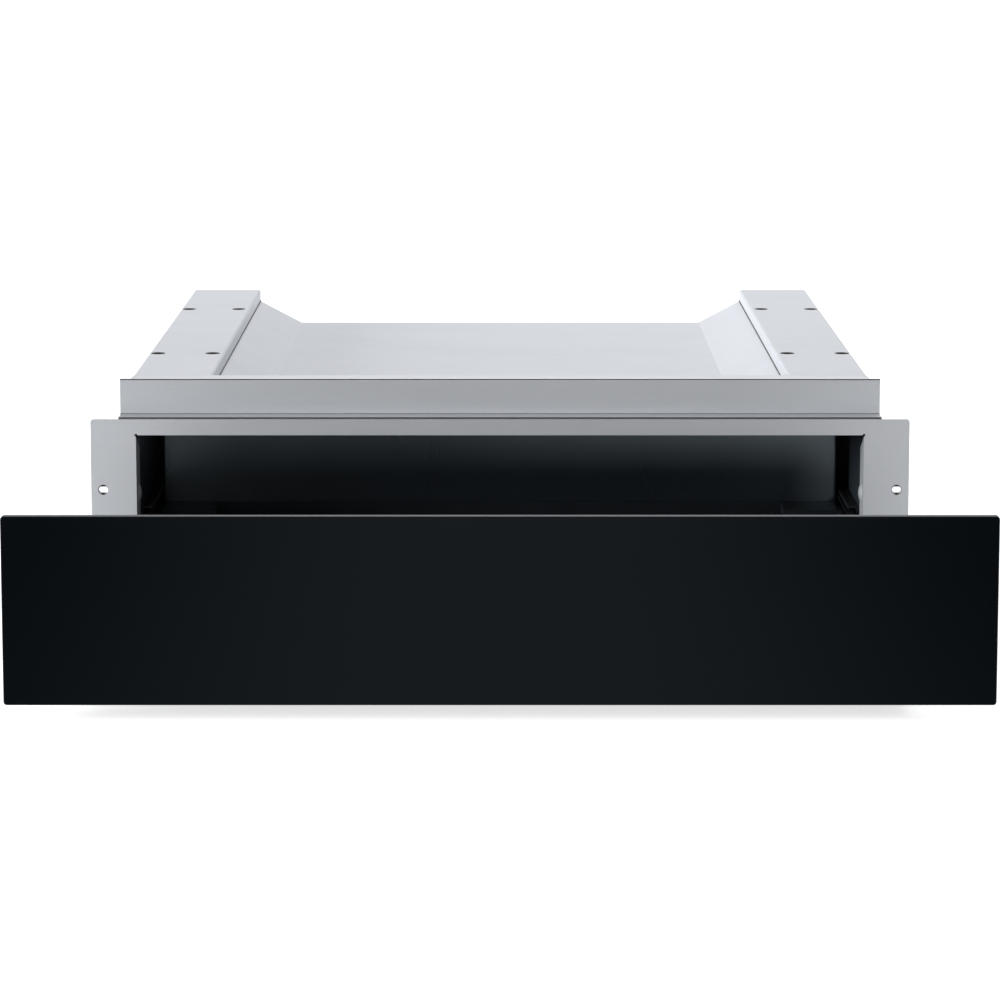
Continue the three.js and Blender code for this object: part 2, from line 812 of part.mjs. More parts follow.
function latchPlunger(side) {
  const at = [side * latchX, slideCentreZ];
  const stemRearY = chamberRearY - plungerTravel - plungerPlay;
  return join(
    bar("y", plungerRadius, plungerTipY, collarRearY, at),
    bar("y", collarRadius, collarFrontY, collarRearY, at, 20),
    bar("y", stemRadius, collarRearY - collarLength / 2, stemRearY, at, 10),
  );
}

class Helix extends THREE.Curve {
  constructor(radius, turns, from, to) {
    super();
    Object.assign(this, { radius, turns, from, to });
  }
  getPoint(t, target = new THREE.Vector3()) {
    const angle = 2 * Math.PI * this.turns * t;
    const y = this.from + (this.to - this.from) * t;
    return target.set(this.radius * Math.cos(angle), y, this.radius * Math.sin(angle));
  }
}

function latchSpring(side) {
  const from = collarRearY + seat + springWire;
  const to = chamberRearY - seat - springWire;
  const wire = new THREE.Shape();
  wire.absarc(0, 0, springWire, 0, 2 * Math.PI);
  const geometry = new THREE.ExtrudeGeometry(wire, {
    steps: springTurns * 8,
    curveSegments: 3,
    extrudePath: new Helix(springRadius, springTurns, from, to),
  });
  geometry.translate(side * latchX, 0, slideCentreZ);
  return toSolid(geometry);
}

// ---------------------------------------------------------------- supply

const terminalRearY = innerRearY - sheet - seat;
const terminalTop = terminalBase + terminalHeight;

const terminalY = terminalRearY - terminalDepth / 2;

function terminalBox() {
  const half = terminalWidth / 2;
  const frontY = terminalRearY - terminalDepth;
  const wall = terminalWall;
  const glandSpan = [terminalRearY - 2 * wall, terminalRearY + wall];
  const leadSpan = [terminalX + half - 2 * wall, terminalX + half + wall];
  return cut(
    block([terminalX - half, frontY, terminalBase], [terminalX + half, terminalRearY, terminalTop]),
    block(
      [terminalX - half + wall, frontY + wall, terminalBase + wall],
      [terminalX + half - wall, terminalRearY - wall, terminalTop + wall],
    ),
    bar("y", glandHoleRadius, ...glandSpan, [terminalX, glandZ], 24),
    bar("x", leadRadius + seat, ...leadSpan, [terminalY, leadEntryZ]),
  );
}

function terminalCover() {
  const half = terminalWidth / 2;
  const frontY = terminalRearY - terminalDepth;
  const inset = terminalWall + seat;
  const base = terminalTop + seat;
  return join(
    block([terminalX - half, frontY, base], [terminalX + half, terminalRearY, base + coverHeight]),
    block(
      [terminalX - half + inset, frontY + inset, base - 2 * terminalWall],
      [terminalX + half - inset, terminalRearY - inset, base + sheet],
    ),
  );
}

// A bush with a waist that holds it in the rear panel, a key and a tapered nose outside.
function cableGland() {
  const waist = glandHoleRadius - seat;
  const outer = rearY + seat;
  const end = terminalRearY - 2 * terminalWall;
  const nose = rearY + glandLength;
  const profile = [
    [glandBore, end],
    [waist, end],
    [waist, outer],
    [glandCollar, outer],
    [glandCollar, outer + glandCollarHeight],
    [waist, outer + glandCollarHeight + 1],
    [glandNose, nose],
    [glandBore, nose],
    [glandBore, end],
  ];
  const bush = new THREE.LatheGeometry(pointList(profile), 20);
  bush.translate(terminalX, 0, glandZ);
  const key = block(
    [terminalX - glandKey / 2, rearY - sheet - seat, glandZ + waist - 1],
    [terminalX + glandKey / 2, outer, glandZ + waist - seat],
  );
  return toSolid(bush).add(key);
}

const clampRearY = panelRearY + seat + clampDepth;
const clampBase = backPanelBase;
const clampZ = clampBase + clampHeight / 2;
const clampWeb = 2; // the clamp's blind end, against the back panel

function leadClamp() {
  const half = clampWidth / 2;
  const boreFrom = panelRearY + seat + clampWeb;
  return cut(
    block(
      [clampX - half, panelRearY + seat, clampBase],
      [clampX + half, clampRearY, clampBase + clampHeight],
    ),
    bar("y", leadRadius + seat, boreFrom, clampRearY + sheet, [clampX, clampZ]),
  );
}

// The lead's route with the drawer open: out of the clamp on the drawer's back, down to the base
// pan, along it in slack bends, and in through the side of the terminal box.
const LEAD_ON_FLOOR = [
  [117, -127],
  [106, -109],
  [60, -81],
  [-10, -61],
  [-60, -25],
  [-50, 19],
  [10, 51],
  [60, 91],
  [40, 139],
  [-20, 164],
  [-56, 196],
  [-74, 228],
];

function supplyLead() {
  const clampEnd = clampRearY - travel;
  const insideClamp = clampEnd - clampDepth + clampWeb + 1;
  const lowZ = sheet + 2 * seat + leadRadius;
  const boxX = terminalX + terminalWidth / 2;
  const route = [
    [clampX, insideClamp, clampZ],
    [clampX, clampEnd, clampZ],
    [clampX, clampEnd + 7, clampZ],
    [clampX, clampEnd + 16, clampZ - 3],
    [clampX, clampEnd + 25, (clampZ + lowZ) / 2 - 2],
    ...LEAD_ON_FLOOR.map(([x, y]) => [x, y, lowZ]),
    [boxX + 44, terminalY - 4, lowZ + 2],
    [boxX + 26, terminalY, leadEntryZ - 9],
    [boxX + 12, terminalY, leadEntryZ - 1],
    [boxX + 4, terminalY, leadEntryZ],
    [boxX - 2 * terminalWall, terminalY, leadEntryZ],
  ];
  const curve = new THREE.CatmullRomCurve3(route.map((point) => new THREE.Vector3(...point)));
  const section = new THREE.Shape();
  section.absarc(0, 0, leadRadius, 0, 2 * Math.PI);
  const geometry = new THREE.ExtrudeGeometry(section, {
    steps: 44,
    curveSegments: 4,
    extrudePath: curve,
  });
  return toSolid(geometry);
}

// ---------------------------------------------------------------- drawer front

function frontGlassPane() {
  const shape = roundedRectangle(-frontX, frontX, frontBottom, frontTop, frontCornerRadius);
  return carry("y", shape, frontFaceY, frontFaceY + frontGlass, frontBevel);
}

const carrierX = frontX - carrierInset;
const carrierBottom = frontBottom + carrierInset;
const carrierTop = frontTop - carrierInset;

// A shallow pan behind the glass, open to the back inside a turned lip.
function frontCarrier() {
  const wall = carrierSheet;
  const lip = carrierLip;
  return cut(
    block([-carrierX, carrierFrontY, carrierBottom], [carrierX, carrierRearY, carrierTop]),
    block(
      [-carrierX + wall, carrierFrontY + wall, carrierBottom + wall],
      [carrierX - wall, carrierRearY - wall, carrierTop - wall],
    ),
    block(
      [-carrierX + lip, carrierRearY - 2 * wall, carrierBottom + lip],
      [carrierX - lip, carrierRearY + wall, carrierTop - lip],
    ),
  );
}

function frontBumper(side, up) {
  const inset = bumperRadius + bumperMargin;
  const x = side * (carrierX - inset);
  const z = up > 0 ? carrierTop - inset : carrierBottom + inset;
  const from = carrierRearY + seat;
  return bar("y", bumperRadius, from, from + bumperHeight, [x, z], 14, bumperRadius - bumperTaper);
}

function frontBracket(side) {
  const footX = carrierX - carrierLip + bracketOverlap;
  const sideFaceX = trayX + seat;
  const section = foldedSheet(
    mirrored(
      [
        [sideFaceX + bracketSheet, trayFrontY + bracketReach],
        [sideFaceX + bracketSheet, trayFrontY + bracketSheet],
        [footX, trayFrontY + bracketSheet],
      ],
      side,
    ),
    bracketSheet,
    bracketSheet,
  );
  return carry("z", section, bracketBottom, bracketTop);
}

// ---------------------------------------------------------------- drawer tray

function drawerTray() {
  const floorAndSides = foldedSheet([
    [trayX, trayRim],
    [trayX, trayBottom],
    [-trayX, trayBottom],
    [-trayX, trayRim],
  ]);
  return join(
    carry("y", floorAndSides, trayFrontY, trayRearY),
    endWall(trayX, trayFrontY, trayBottom, trayFrontRim),
    endWall(trayX, trayRearY - sheet, trayBottom, trayRim - seat),
  );
}

// A high panel on the tray's rear wall, folded back at its sides and its top.
function backPanel() {
  const x = trayX + backPanelReach;
  const y = trayRearY + seat;
  const section = foldedSheet([
    [x, y + backFlange],
    [x, y],
    [-x, y],
    [-x, y + backFlange],
  ]);
  const topFold = block(
    [-x + bendRelief, y + sheet / 2, backPanelTop - sheet],
    [x - bendRelief, y + backFlange, backPanelTop],
  );
  return carry("z", section, backPanelBase, backPanelTop).add(topFold);
}

// A cover over each end of the deck, up to the rim of the tray's side wall.
function cornerBlock(side) {
  const outer = trayX - sheet - seat;
  const inner = outer - cornerBlockWidth;
  const rear = trayRearY - sheet - seat;
  const front = rear - cornerBlockDepth;
  const base = deckTop + seat;
  const wall = cornerBlockSheet;
  return cut(
    block([side * inner, front, base], [side * outer, rear, trayRim]),
    block(
      [side * (inner + wall), front + wall, base - wall],
      [side * (outer - wall), rear - wall, trayRim - wall],
    ),
  );
}

const deckX = trayX - sheet - seat;
const deckFrontY = trayFrontY + sheet + seat;
const deckRearY = trayRearY - sheet - seat;

function plateOutline(inset) {
  const radius = Math.max(plateCornerRadius - inset, 1);
  return roundedRectangle(
    -plateX + inset,
    plateX - inset,
    plateFrontY + inset,
    plateRearY - inset,
    radius,
  );
}

// The deck stands on the tray's floor on its own turned-down edges.
function deckPlate() {
  const foot = trayFloorTop + seat;
  return cut(
    block([-deckX, deckFrontY, foot], [deckX, deckRearY, deckTop]),
    block(
      [-deckX + sheet, deckFrontY + sheet, foot - sheet],
      [deckX - sheet, deckRearY - sheet, deckTop - sheet],
    ),
    carry("z", plateOutline(deckLedge), deckTop - 2 * sheet, deckTop + sheet),
  );
}

function plateGasket() {
  const ring = plateOutline(seat);
  ring.holes.push(plateOutline(deckLedge - gasketLip));
  return carry("z", ring, deckTop + seat, gasketTop);
}

function heatingPlate() {
  return carry("z", plateOutline(0), gasketTop + seat, plateTop, plateBevel);
}

// ---------------------------------------------------------------- heater

// One sheathed tube in parallel runs across the plate, joined by half-round turns.
function heatingElement() {
  const reach = plateX - elementMargin;
  const frontRun = plateFrontY + elementMargin;
  const rearRun = plateRearY - elementMargin;
  const pitch = (rearRun - frontRun) / (elementPasses - 1);
  const turn = pitch / 2;
  const z = insulationTop + seat + elementRadius;
  const path = new THREE.CurvePath();
  const at = (x, y) => new THREE.Vector3(x, y, z);
  for (let i = 0; i < elementPasses; i++) {
    const way = i % 2 ? -1 : 1;
    const y = rearRun - i * pitch;
    path.add(new THREE.LineCurve3(at(-way * (reach - turn), y), at(way * (reach - turn), y)));
    if (i < elementPasses - 1) path.add(new HalfTurn(way * (reach - turn), y - turn, turn, way, z));
  }
  const section = new THREE.Shape();
  section.absarc(0, 0, elementRadius, 0, 2 * Math.PI);
  const geometry = new THREE.ExtrudeGeometry(section, {
    steps: elementPasses * 9,
    curveSegments: 3,
    extrudePath: path,
  });
  return toSolid(geometry);
}

class HalfTurn extends THREE.Curve {
  constructor(x, y, radius, way, z) {
    super();
    Object.assign(this, { x, y, radius, way, z });
  }
  getPoint(t, target = new THREE.Vector3()) {
    const angle = Math.PI * (0.5 - t);
    return target.set(
      this.x + this.way * this.radius * Math.cos(angle),
      this.y + this.radius * Math.sin(angle),
      this.z,
    );
  }
}

function insulationMat() {
  const edge = deckX - sheet - 2 * seat;
  return block(
    [-edge, plateFrontY, trayFloorTop + seat],
    [edge, plateRearY + plateRearMargin / 2, insulationTop],
  );
}

// A bimetal disc switch: a flange held up against the deck, and its can below.
function discSwitch(x) {
  const y = plateRearY - deckLedge / 2 + limiterRadius;
  const top = deckTop - sheet - seat;
  return join(
    bar("z", limiterRadius, top - limiterFlange, top, [x, y], 24),
    bar("z", limiterCan, top - limiterHeight, top - limiterFlange / 2, [x, y], 24),
  );
}

// ---------------------------------------------------------------- control console

const knobX = trayX - sheet - knobInset;
const knobY = trayFrontY + knobSetback;

function controlConsole() {
  const endX = trayX - sheet - seat;
  const foot = deckTop + seat;
  const slopeY = trayFrontY + consoleDepth;
  const section = foldedSheet([
    [trayFrontY, consoleTop],
    [slopeY, consoleTop],
    [consoleRearY, foot],
  ]);
  const cheek = outline([
    [deckFrontY, foot],
    [consoleRearY - 2 * sheet, foot],
    [slopeY - sheet, consoleTop - sheet / 2],
    [deckFrontY, consoleTop - sheet / 2],
  ]);
  const console = join(
    carry("x", section, -endX, endX),
    carry("x", cheek, -endX, -endX + sheet),
    carry("x", cheek, endX - sheet, endX),
  );
  const throughTop = [consoleTop - 2 * sheet, consoleTop + sheet];
  return cut(
    console,
    bar("z", spindleRadius + spindleClearance, ...throughTop, [knobX, knobY]),
    bar("z", pilotRadius, ...throughTop, [knobX - pilotOffset, knobY]),
  );
}

const switchTop = consoleTop - sheet - seat;

function selectorSwitch() {
  const base = switchTop - switchHeight;
  const boxes = join(
    block(
      [knobX - switchWidth / 2, knobY - switchDepth / 2, base],
      [knobX + switchWidth / 2, knobY + switchDepth / 2, switchTop],
    ),
    bar("z", 2 * spindleRadius, base - switchBoss, switchTop - sheet, [knobX, knobY]),
  );
  const bore = spindleRadius + spindleClearance;
  return cut(boxes, bar("z", bore, spindleBase - seat, switchTop + sheet, [knobX, knobY]));
}

const spindleBase = switchTop - switchHeight / 2;
const spindleTop = consoleTop + knobHeight / 2;

function selectorSpindle() {
  const reach = 2 * spindleRadius;
  return cut(
    bar("z", spindleRadius, spindleBase, spindleTop, [knobX, knobY]),
    block(
      [knobX + spindleFlat, knobY - reach, consoleTop + seat],
      [knobX + reach, knobY + reach, spindleTop + sheet],
    ),
  );
}

// A turned cap with gripping flutes and a raised pointer.
function selectorKnob() {
  const base = consoleTop + seat;
  const top = base + knobHeight;
  const gripBase = base + skirtHeight + knobSkirt;
  const profile = [
    [0, base],
    [knobRadius + knobSkirt, base],
    [knobRadius + knobSkirt, base + skirtHeight],
    [knobRadius, gripBase],
    [knobRadius - knobDraft, top - knobChamfer],
    [knobRadius - knobDraft - knobChamfer, top],
    [0, top],
  ];
  const cap = new THREE.LatheGeometry(pointList(profile), 36);
  cap.rotateX(Math.PI / 2).translate(knobX, knobY, 0);
  const flutes = [];
  for (let i = 0; i < knobGrips; i++) {
    const angle = (2 * Math.PI * (i + 0.5)) / knobGrips;
    const x = knobX + knobRadius * Math.cos(angle);
    const y = knobY + knobRadius * Math.sin(angle);
    flutes.push(bar("z", knobGripRadius, gripBase, top + sheet, [x, y], 6));
  }
  const pointerEnd = knobY + knobRadius - knobDraft - knobChamfer;
  const pointer = block(
    [knobX - pointerWidth / 2, pointerEnd - pointerLength, top - sheet],
    [knobX + pointerWidth / 2, pointerEnd, top + pointerHeight],
  );
  const socket = bar("z", spindleRadius + seat, base - sheet, spindleTop + seat, [knobX, knobY]);
  return cut(toSolid(cap).add(pointer), ...flutes, socket);
}

// A domed lens with a stem through the console's top.
function pilotLens() {
  const stem = pilotRadius - seat;
  const rim = pilotRadius + pilotRim;
  const base = consoleTop + seat;
  const profile = [
    [0, consoleTop - 3 * sheet],
    [stem, consoleTop - 3 * sheet],
    [stem, base],
    [rim, base],
    [rim * 0.9, base + pilotHeight * 0.5],
    [rim * 0.5, base + pilotHeight * 0.9],
    [0, base + pilotHeight],
  ];
  const lens = new THREE.LatheGeometry(pointList(profile), 20);
  lens.rotateX(Math.PI / 2).translate(knobX - pilotOffset, knobY, 0);
  return toSolid(lens);
}

// ---------------------------------------------------------------- build

place("base_pan", basePan(), zincSheet);
place("rear_panel", rearPanel(), zincSheet);
place("roof_cover", roofCover(), zincSheet);
place("fascia_strip", fasciaStrip(), brushedSteel);
place("mounting_frame", mountingFrame(), brushedSteel);
place("cavity_ceiling", cavityCeiling(), blackEnamel);
place("terminal_box", terminalBox(), palePlastic);
place("terminal_cover", terminalCover(), palePlastic);
place("cable_gland", cableGland(), blackPlastic);
place("supply_lead", supplyLead(), silicone);

for (const [name, side] of SIDES) {
  place("side_panel_" + name, sidePanel(side), zincSheet);
  place("support_rail_" + name, supportRail(side), zincSheet);
  place("side_liner_" + name, sideLiner(side), blackEnamel);
  place("latch_body_" + name, latchBody(side), blackPlastic);
  place("latch_plunger_" + name, latchPlunger(side), palePlastic);
  place("latch_spring_" + name, latchSpring(side), springSteel);

  const outerChannel = channel(side, slideHeight, 0, outerReach, outerLip);
  const middleChannel = channel(side, middleHeight, middleBack, middleReach);
  const innerChannel = channel(side, innerHeight, slideThickness, innerFrom);
  place("slide_outer_" + name, outerChannel, rollerSteel);
  place("slide_middle_" + name, middleChannel, rollerSteel, middles);
  place("slide_inner_" + name, innerChannel, rollerSteel, drawer);
  place("ball_cage_outer_" + name, outerCage(side), springSteel, outerCages);
  place("ball_cage_inner_" + name, innerCage(side), springSteel, innerCages);

  place("front_bracket_" + name, frontBracket(side), zincSheet, drawer);
  place("corner_block_" + name, cornerBlock(side), blackEnamel, drawer);
  place("front_bumper_upper_" + name, frontBumper(side, 1), rubber, drawer);
  place("front_bumper_lower_" + name, frontBumper(side, -1), rubber, drawer);
}

place("front_glass", frontGlassPane(), blackGlass, drawer);
place("front_carrier", frontCarrier(), blackEnamel, drawer);
place("drawer_tray", drawerTray(), blackEnamel, drawer);
place("back_panel", backPanel(), blackEnamel, drawer);
place("deck_plate", deckPlate(), blackEnamel, drawer);
place("plate_gasket", plateGasket(), silicone, drawer);
place("heating_plate", heatingPlate(), blackGlass, drawer);
place("heating_element", heatingElement(), rollerSteel, drawer);
place("insulation_mat", insulationMat(), mineralWool, drawer);
place("thermostat", discSwitch(-limiterX), springSteel, drawer);
place("thermal_cutout", discSwitch(limiterX), springSteel, drawer);
place("lead_clamp", leadClamp(), blackPlastic, drawer);
place("control_console", controlConsole(), blackEnamel, drawer);
place("selector_switch", selectorSwitch(), blackPlastic, drawer);
place("selector_spindle", selectorSpindle(), springSteel, drawer);
place("selector_knob", selectorKnob(), blackPlastic, drawer);
place("pilot_lens", pilotLens(), amberLens, drawer);

export default warmingDrawer;
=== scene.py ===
"""The looks of a built-in warming drawer, pulled open to its stop.

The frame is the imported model's: +X right, +Y back, +Z up. The object's lengths are written in
millimetres, which MM turns into metres. The stage's lengths are in metres where a comment says so.
"""

import json
import math

import bmesh
import bpy
from mathutils import Matrix, Vector


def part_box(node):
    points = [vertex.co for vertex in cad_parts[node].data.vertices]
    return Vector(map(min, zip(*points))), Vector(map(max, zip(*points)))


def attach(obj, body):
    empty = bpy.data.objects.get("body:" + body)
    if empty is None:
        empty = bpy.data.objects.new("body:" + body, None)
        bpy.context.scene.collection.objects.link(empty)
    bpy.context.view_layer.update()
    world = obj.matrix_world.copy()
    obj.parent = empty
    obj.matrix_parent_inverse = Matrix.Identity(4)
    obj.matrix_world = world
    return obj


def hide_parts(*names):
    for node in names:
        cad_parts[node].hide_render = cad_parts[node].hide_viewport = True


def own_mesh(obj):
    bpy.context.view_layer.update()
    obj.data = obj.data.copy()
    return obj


MM = 0.001
SIDES = (("left", -1), ("right", 1))
UP = (0, 0, 1)
FRONTWARD = (0, -1, 0)
REARWARD = (0, 1, 0)

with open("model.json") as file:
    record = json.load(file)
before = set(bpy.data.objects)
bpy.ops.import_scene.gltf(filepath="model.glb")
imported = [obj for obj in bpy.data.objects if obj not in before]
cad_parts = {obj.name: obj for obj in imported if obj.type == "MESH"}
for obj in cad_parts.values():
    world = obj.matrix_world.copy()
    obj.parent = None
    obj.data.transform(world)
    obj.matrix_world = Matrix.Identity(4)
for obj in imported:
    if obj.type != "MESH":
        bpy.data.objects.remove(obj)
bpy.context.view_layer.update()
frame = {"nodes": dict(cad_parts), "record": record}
slot_of = {part["node"]: part["material_slot"] for part in frame["record"]["subparts"]}


def link(made):
    """Puts an object into the scene."""
    bpy.context.scene.collection.objects.link(made)
    return made


# ------------------------------------------------------------------------------ camera

SENSOR_WIDTH = 36
LENS_WIDTHS = 3.3374  # focal length over the sensor's width
CAMERA_TILT = 7.385  # degrees below the horizon
CAMERA_SHIFT = -0.2
CAMERA_AT = (0, -2635.4, 506.8)
CAMERA_RANGE = (0.05, 60)  # metres


def make_camera():
    """A long lens in front of the drawer's middle, a little above it."""
    data = bpy.data.cameras.new("camera")
    data.sensor_width = SENSOR_WIDTH
    data.lens = LENS_WIDTHS * SENSOR_WIDTH
    data.shift_y = CAMERA_SHIFT
    data.clip_start, data.clip_end = CAMERA_RANGE
    camera = link(bpy.data.objects.new("camera", data))
    camera.location = Vector(CAMERA_AT) * MM
    camera.rotation_euler = (math.radians(90 - CAMERA_TILT), 0, 0)
    bpy.context.scene.camera = camera


# ------------------------------------------------------------------------------ shaders


class Nodes:
    """A node tree, with short ways to add to it."""

    def __init__(self, tree):
        self.tree = tree

    def node(self, kind, inputs=None, **settings):
        """Adds a node. Its inputs are values, or outputs that are linked to them."""
        made = self.tree.nodes.new(kind)
        for key, value in settings.items():
            setattr(made, key, value)
        for key, value in (inputs or {}).items():
            if isinstance(value, bpy.types.NodeSocket):
                self.tree.links.new(value, made.inputs[key])
            else:
                made.inputs[key].default_value = value
        return made

    def math(self, operation, a, b=0.0):
        """A sum, product or the like, of numbers or of other nodes' outputs."""
        return self.node("ShaderNodeMath", {0: a, 1: b}, operation=operation).outputs[0]

    def spread(self, value, low, high, from_low=0.0, from_high=1.0, **settings):
        """The value stretched from one range to another, without going past its ends."""
        inputs = {0: value, 1: from_low, 2: from_high, 3: low, 4: high}
        return self.node("ShaderNodeMapRange", inputs, **settings).outputs[0]


class Shader(Nodes):
    """A material with one Principled surface, to which textures are added."""

    def __init__(self, name, color, roughness, metallic=0.0, **inputs):
        self.material = bpy.data.materials.new(name)
        self.material.use_nodes = True
        super().__init__(self.material.node_tree)
        self.surface = self.tree.nodes["Principled BSDF"]
        self.color = color
        self.surface.inputs["Metallic"].default_value = metallic
        self.surface.inputs["Base Color"].default_value = (*color, 1)
        self.surface.inputs["Roughness"].default_value = roughness
        for key, value in inputs.items():
            self.surface.inputs[key.replace("_", " ")].default_value = value
        self.place = self.node("ShaderNodeTexCoord").outputs["Object"]
        self.height = None

    def scaled(self, size):
        """Coordinates in which a texture's features have this size in millimetres, per axis."""
        each = size if isinstance(size, tuple) else (size, size, size)
        scale = tuple(1 / (s * MM) for s in each)
        return self.node("ShaderNodeMapping", {"Vector": self.place, "Scale": scale}).outputs[0]

    def noise(self, size, detail=3.0, roughness=0.5):
        """Cloudy noise from 0 to 1, whose clouds are about this many millimetres apart."""
        inputs = {"Vector": self.scaled(size), "Scale": 1, "Detail": detail, "Roughness": roughness}
        return self.node("ShaderNodeTexNoise", inputs).outputs["Fac"]

    def cells(self, size, output="Distance"):
        """Grains of about this size: the distance from their middles, or a colour for each."""
        inputs = {"Vector": self.scaled(size), "Scale": 1}
        return self.node("ShaderNodeTexVoronoi", inputs, feature="F1").outputs[output]

    def tint(self, amount, other):
        """Turns the colour towards another one by the amount, over the surface."""
        first, second, result = 6, 7, 2  # the mix node's sockets for colours
        inputs = {0: amount, first: self.base(), second: (*other, 1)}
        mixed = self.node("ShaderNodeMix", inputs, data_type="RGBA")
        self.tree.links.new(mixed.outputs[result], self.surface.inputs["Base Color"])

    def base(self):
        """The colour so far: the last tint, or the plain colour."""
        links = self.surface.inputs["Base Color"].links
        return links[0].from_socket if links else (*self.color, 1)

    def link_roughness(self, value):
        self.tree.links.new(value, self.surface.inputs["Roughness"])

    def vary_roughness(self, value, low, high, from_low=0.3, from_high=0.7):
        self.link_roughness(self.spread(value, low, high, from_low, from_high))

    def facing_away_from_y(self):
        """0 on faces square to Y, and 1 on those along it."""
        normal = self.node("ShaderNodeTexCoord").outputs["Normal"]
        parts = self.node("ShaderNodeSeparateXYZ", {"Vector": normal}).outputs
        return self.math("SUBTRACT", 1.0, self.math("ABSOLUTE", parts["Y"]))

    def bump(self, value, depth, strength=1.0):
        """Adds relief of this depth in millimetres."""
        inputs = {"Height": value, "Distance": depth * MM, "Strength": strength}
        if self.height is not None:
            inputs["Normal"] = self.height
        self.height = self.node("ShaderNodeBump", inputs).outputs[0]
        self.tree.links.new(self.height, self.surface.inputs["Normal"])


def shade(color, factor):
    """The colour made lighter or darker."""
    return tuple(factor * part for part in color)


def zinc_sheet(name="zinc sheet", color=(0.62, 0.643, 0.686), contrast=0.16):
    """Zinc-coated sheet: spangle, fine speckle and a few handling smears."""
    made = Shader(name, color, 0.5, 0.12, Specular_IOR_Level=0.32)
    darker, lighter = shade(color, 0.9), shade(color, 1.18)
    spangle = made.cells(11, output="Color")
    made.tint(made.spread(spangle, 0, contrast), darker)
    speckle = made.noise(0.8, 2)
    made.tint(made.spread(speckle, 0, 0.2, 0.45, 0.75), lighter)
    smear = made.noise((140, 60, 140), 4, 0.6)
    made.tint(made.spread(smear, 0, 0.25, 0.5, 0.8), darker)
    made.vary_roughness(smear, 0.44, 0.54)
    made.bump(speckle, 0.02, 0.3)
    return made


def brushed_steel():
    """Stainless sheet, ground along X, with fine scratches and faint smears."""
    made = Shader("brushed steel", (0.535, 0.553, 0.582), 0.38, 0.4, Specular_IOR_Level=0.4)
    grain = made.noise((60, 0.35, 0.35), 5, 0.65)
    made.tint(made.spread(grain, 0, 0.2, 0.42, 0.62), (0.63, 0.648, 0.674))
    smear = made.noise((90, 40, 30), 3)
    made.tint(made.spread(smear, 0, 0.15, 0.5, 0.8), (0.46, 0.47, 0.49))
    made.vary_roughness(grain, 0.33, 0.43)
    made.bump(grain, 0.01, 0.35)
    return made


COOL = (0.75, 0.9, 1, 1)  # a faint blue in the reflections of black coats


def black_enamel(
    name="black enamel",
    color=(0.004, 0.006, 0.0085),
    gloss=(0.27, 0.3),
    level=0.8,
    coat=0.3,
):
    """Satin black coat with orange peel and a little dust."""
    made = Shader(
        name,
        color,
        gloss[0],
        Specular_IOR_Level=level,
        Specular_Tint=COOL,
        Coat_Weight=coat,
        Coat_Roughness=0.28,
    )
    dust = made.noise((45, 45, 70), 2)
    made.tint(made.spread(dust, 0, 0.2, 0.4, 0.8), shade(color, 1.5))
    made.vary_roughness(dust, *gloss)
    made.bump(made.noise(3, 1), 0.02, 0.15)
    return made


def black_glass():
    """Blue-black glass with a barely seen film on its face, and edge faces that are a little
    rougher and painted a lighter grey as a painted highlight.
    """
    made = Shader(
        "black glass",
        (0.001, 0.0018, 0.003),
        0.07,
        Specular_IOR_Level=0.13,
        Specular_Tint=COOL,
    )
    film = made.noise((150, 150, 60), 4, 0.6)
    made.tint(made.spread(film, 0, 0.35, 0.45, 0.8), (0.002, 0.0032, 0.0048))
    # Painted highlight: the edge faces are painted a lighter grey
    edge = made.facing_away_from_y()
    made.tint(made.spread(edge, 0, 1, 0.4, 0.6), (0.04, 0.047, 0.058))
    film_gloss = made.spread(film, 0.05, 0.1, 0.3, 0.7)
    made.link_roughness(made.math("MAXIMUM", film_gloss, made.spread(edge, 0, 0.4, 0.4, 0.6)))
    made.bump(made.noise(60, 1), 0.02, 0.1)
    return made


def plate_glass():
    """Black heating plate: glass-ceramic with a fine printed dot screen under its surface."""
    made = Shader("heating plate", (0.006, 0.0065, 0.0075), 0.1, Specular_IOR_Level=0.3)
    dots = made.cells(1.1)
    made.tint(made.spread(dots, 0.55, 0, 0.12, 0.2), (0.03, 0.031, 0.034))
    film = made.noise(80, 4, 0.6)
    made.vary_roughness(film, 0.07, 0.16)
    return made


def black_plastic():
    """Moulded black plastic with a fine spark-eroded grain."""
    made = Shader("black plastic", (0.018, 0.0185, 0.02), 0.5)
    grain = made.noise(0.5, 2)
    made.tint(made.spread(grain, 0, 0.5, 0.45, 0.75), (0.028, 0.0285, 0.031))
    made.vary_roughness(grain, 0.42, 0.58)
    made.bump(grain, 0.03, 0.5)
    return made


def pale_plastic():
    """Pale grey moulded plastic, faintly mottled."""
    made = Shader("pale plastic", (0.68, 0.68, 0.66), 0.45)
    mottle = made.noise(16, 3)
    made.tint(made.spread(mottle, 0, 0.4, 0.4, 0.8), (0.6, 0.595, 0.57))
    grain = made.noise(0.6, 2)
    made.vary_roughness(grain, 0.4, 0.52)
    made.bump(grain, 0.02, 0.3)
    return made


def rubber():
    """Matt black rubber with a pale bloom."""
    made = Shader("rubber", (0.012, 0.012, 0.013), 0.78, Specular_IOR_Level=0.2)
    bloom = made.noise(4, 4, 0.6)
    made.tint(made.spread(bloom, 0, 0.6, 0.45, 0.8), (0.03, 0.03, 0.031))
    made.vary_roughness(bloom, 0.7, 0.88)
    made.bump(made.noise(0.4, 2), 0.03, 0.5)
    return made


def silicone():
    """Silicone sleeve, a little dusty."""
    made = Shader("silicone", (0.03, 0.03, 0.033), 0.62, Sheen_Weight=0.15)
    bloom = made.noise(6, 4, 0.6)
    made.tint(made.spread(bloom, 0, 0.5, 0.4, 0.8), (0.05, 0.05, 0.054))
    made.vary_roughness(bloom, 0.55, 0.72)
    made.bump(made.noise(0.5, 2), 0.02, 0.4)
    return made


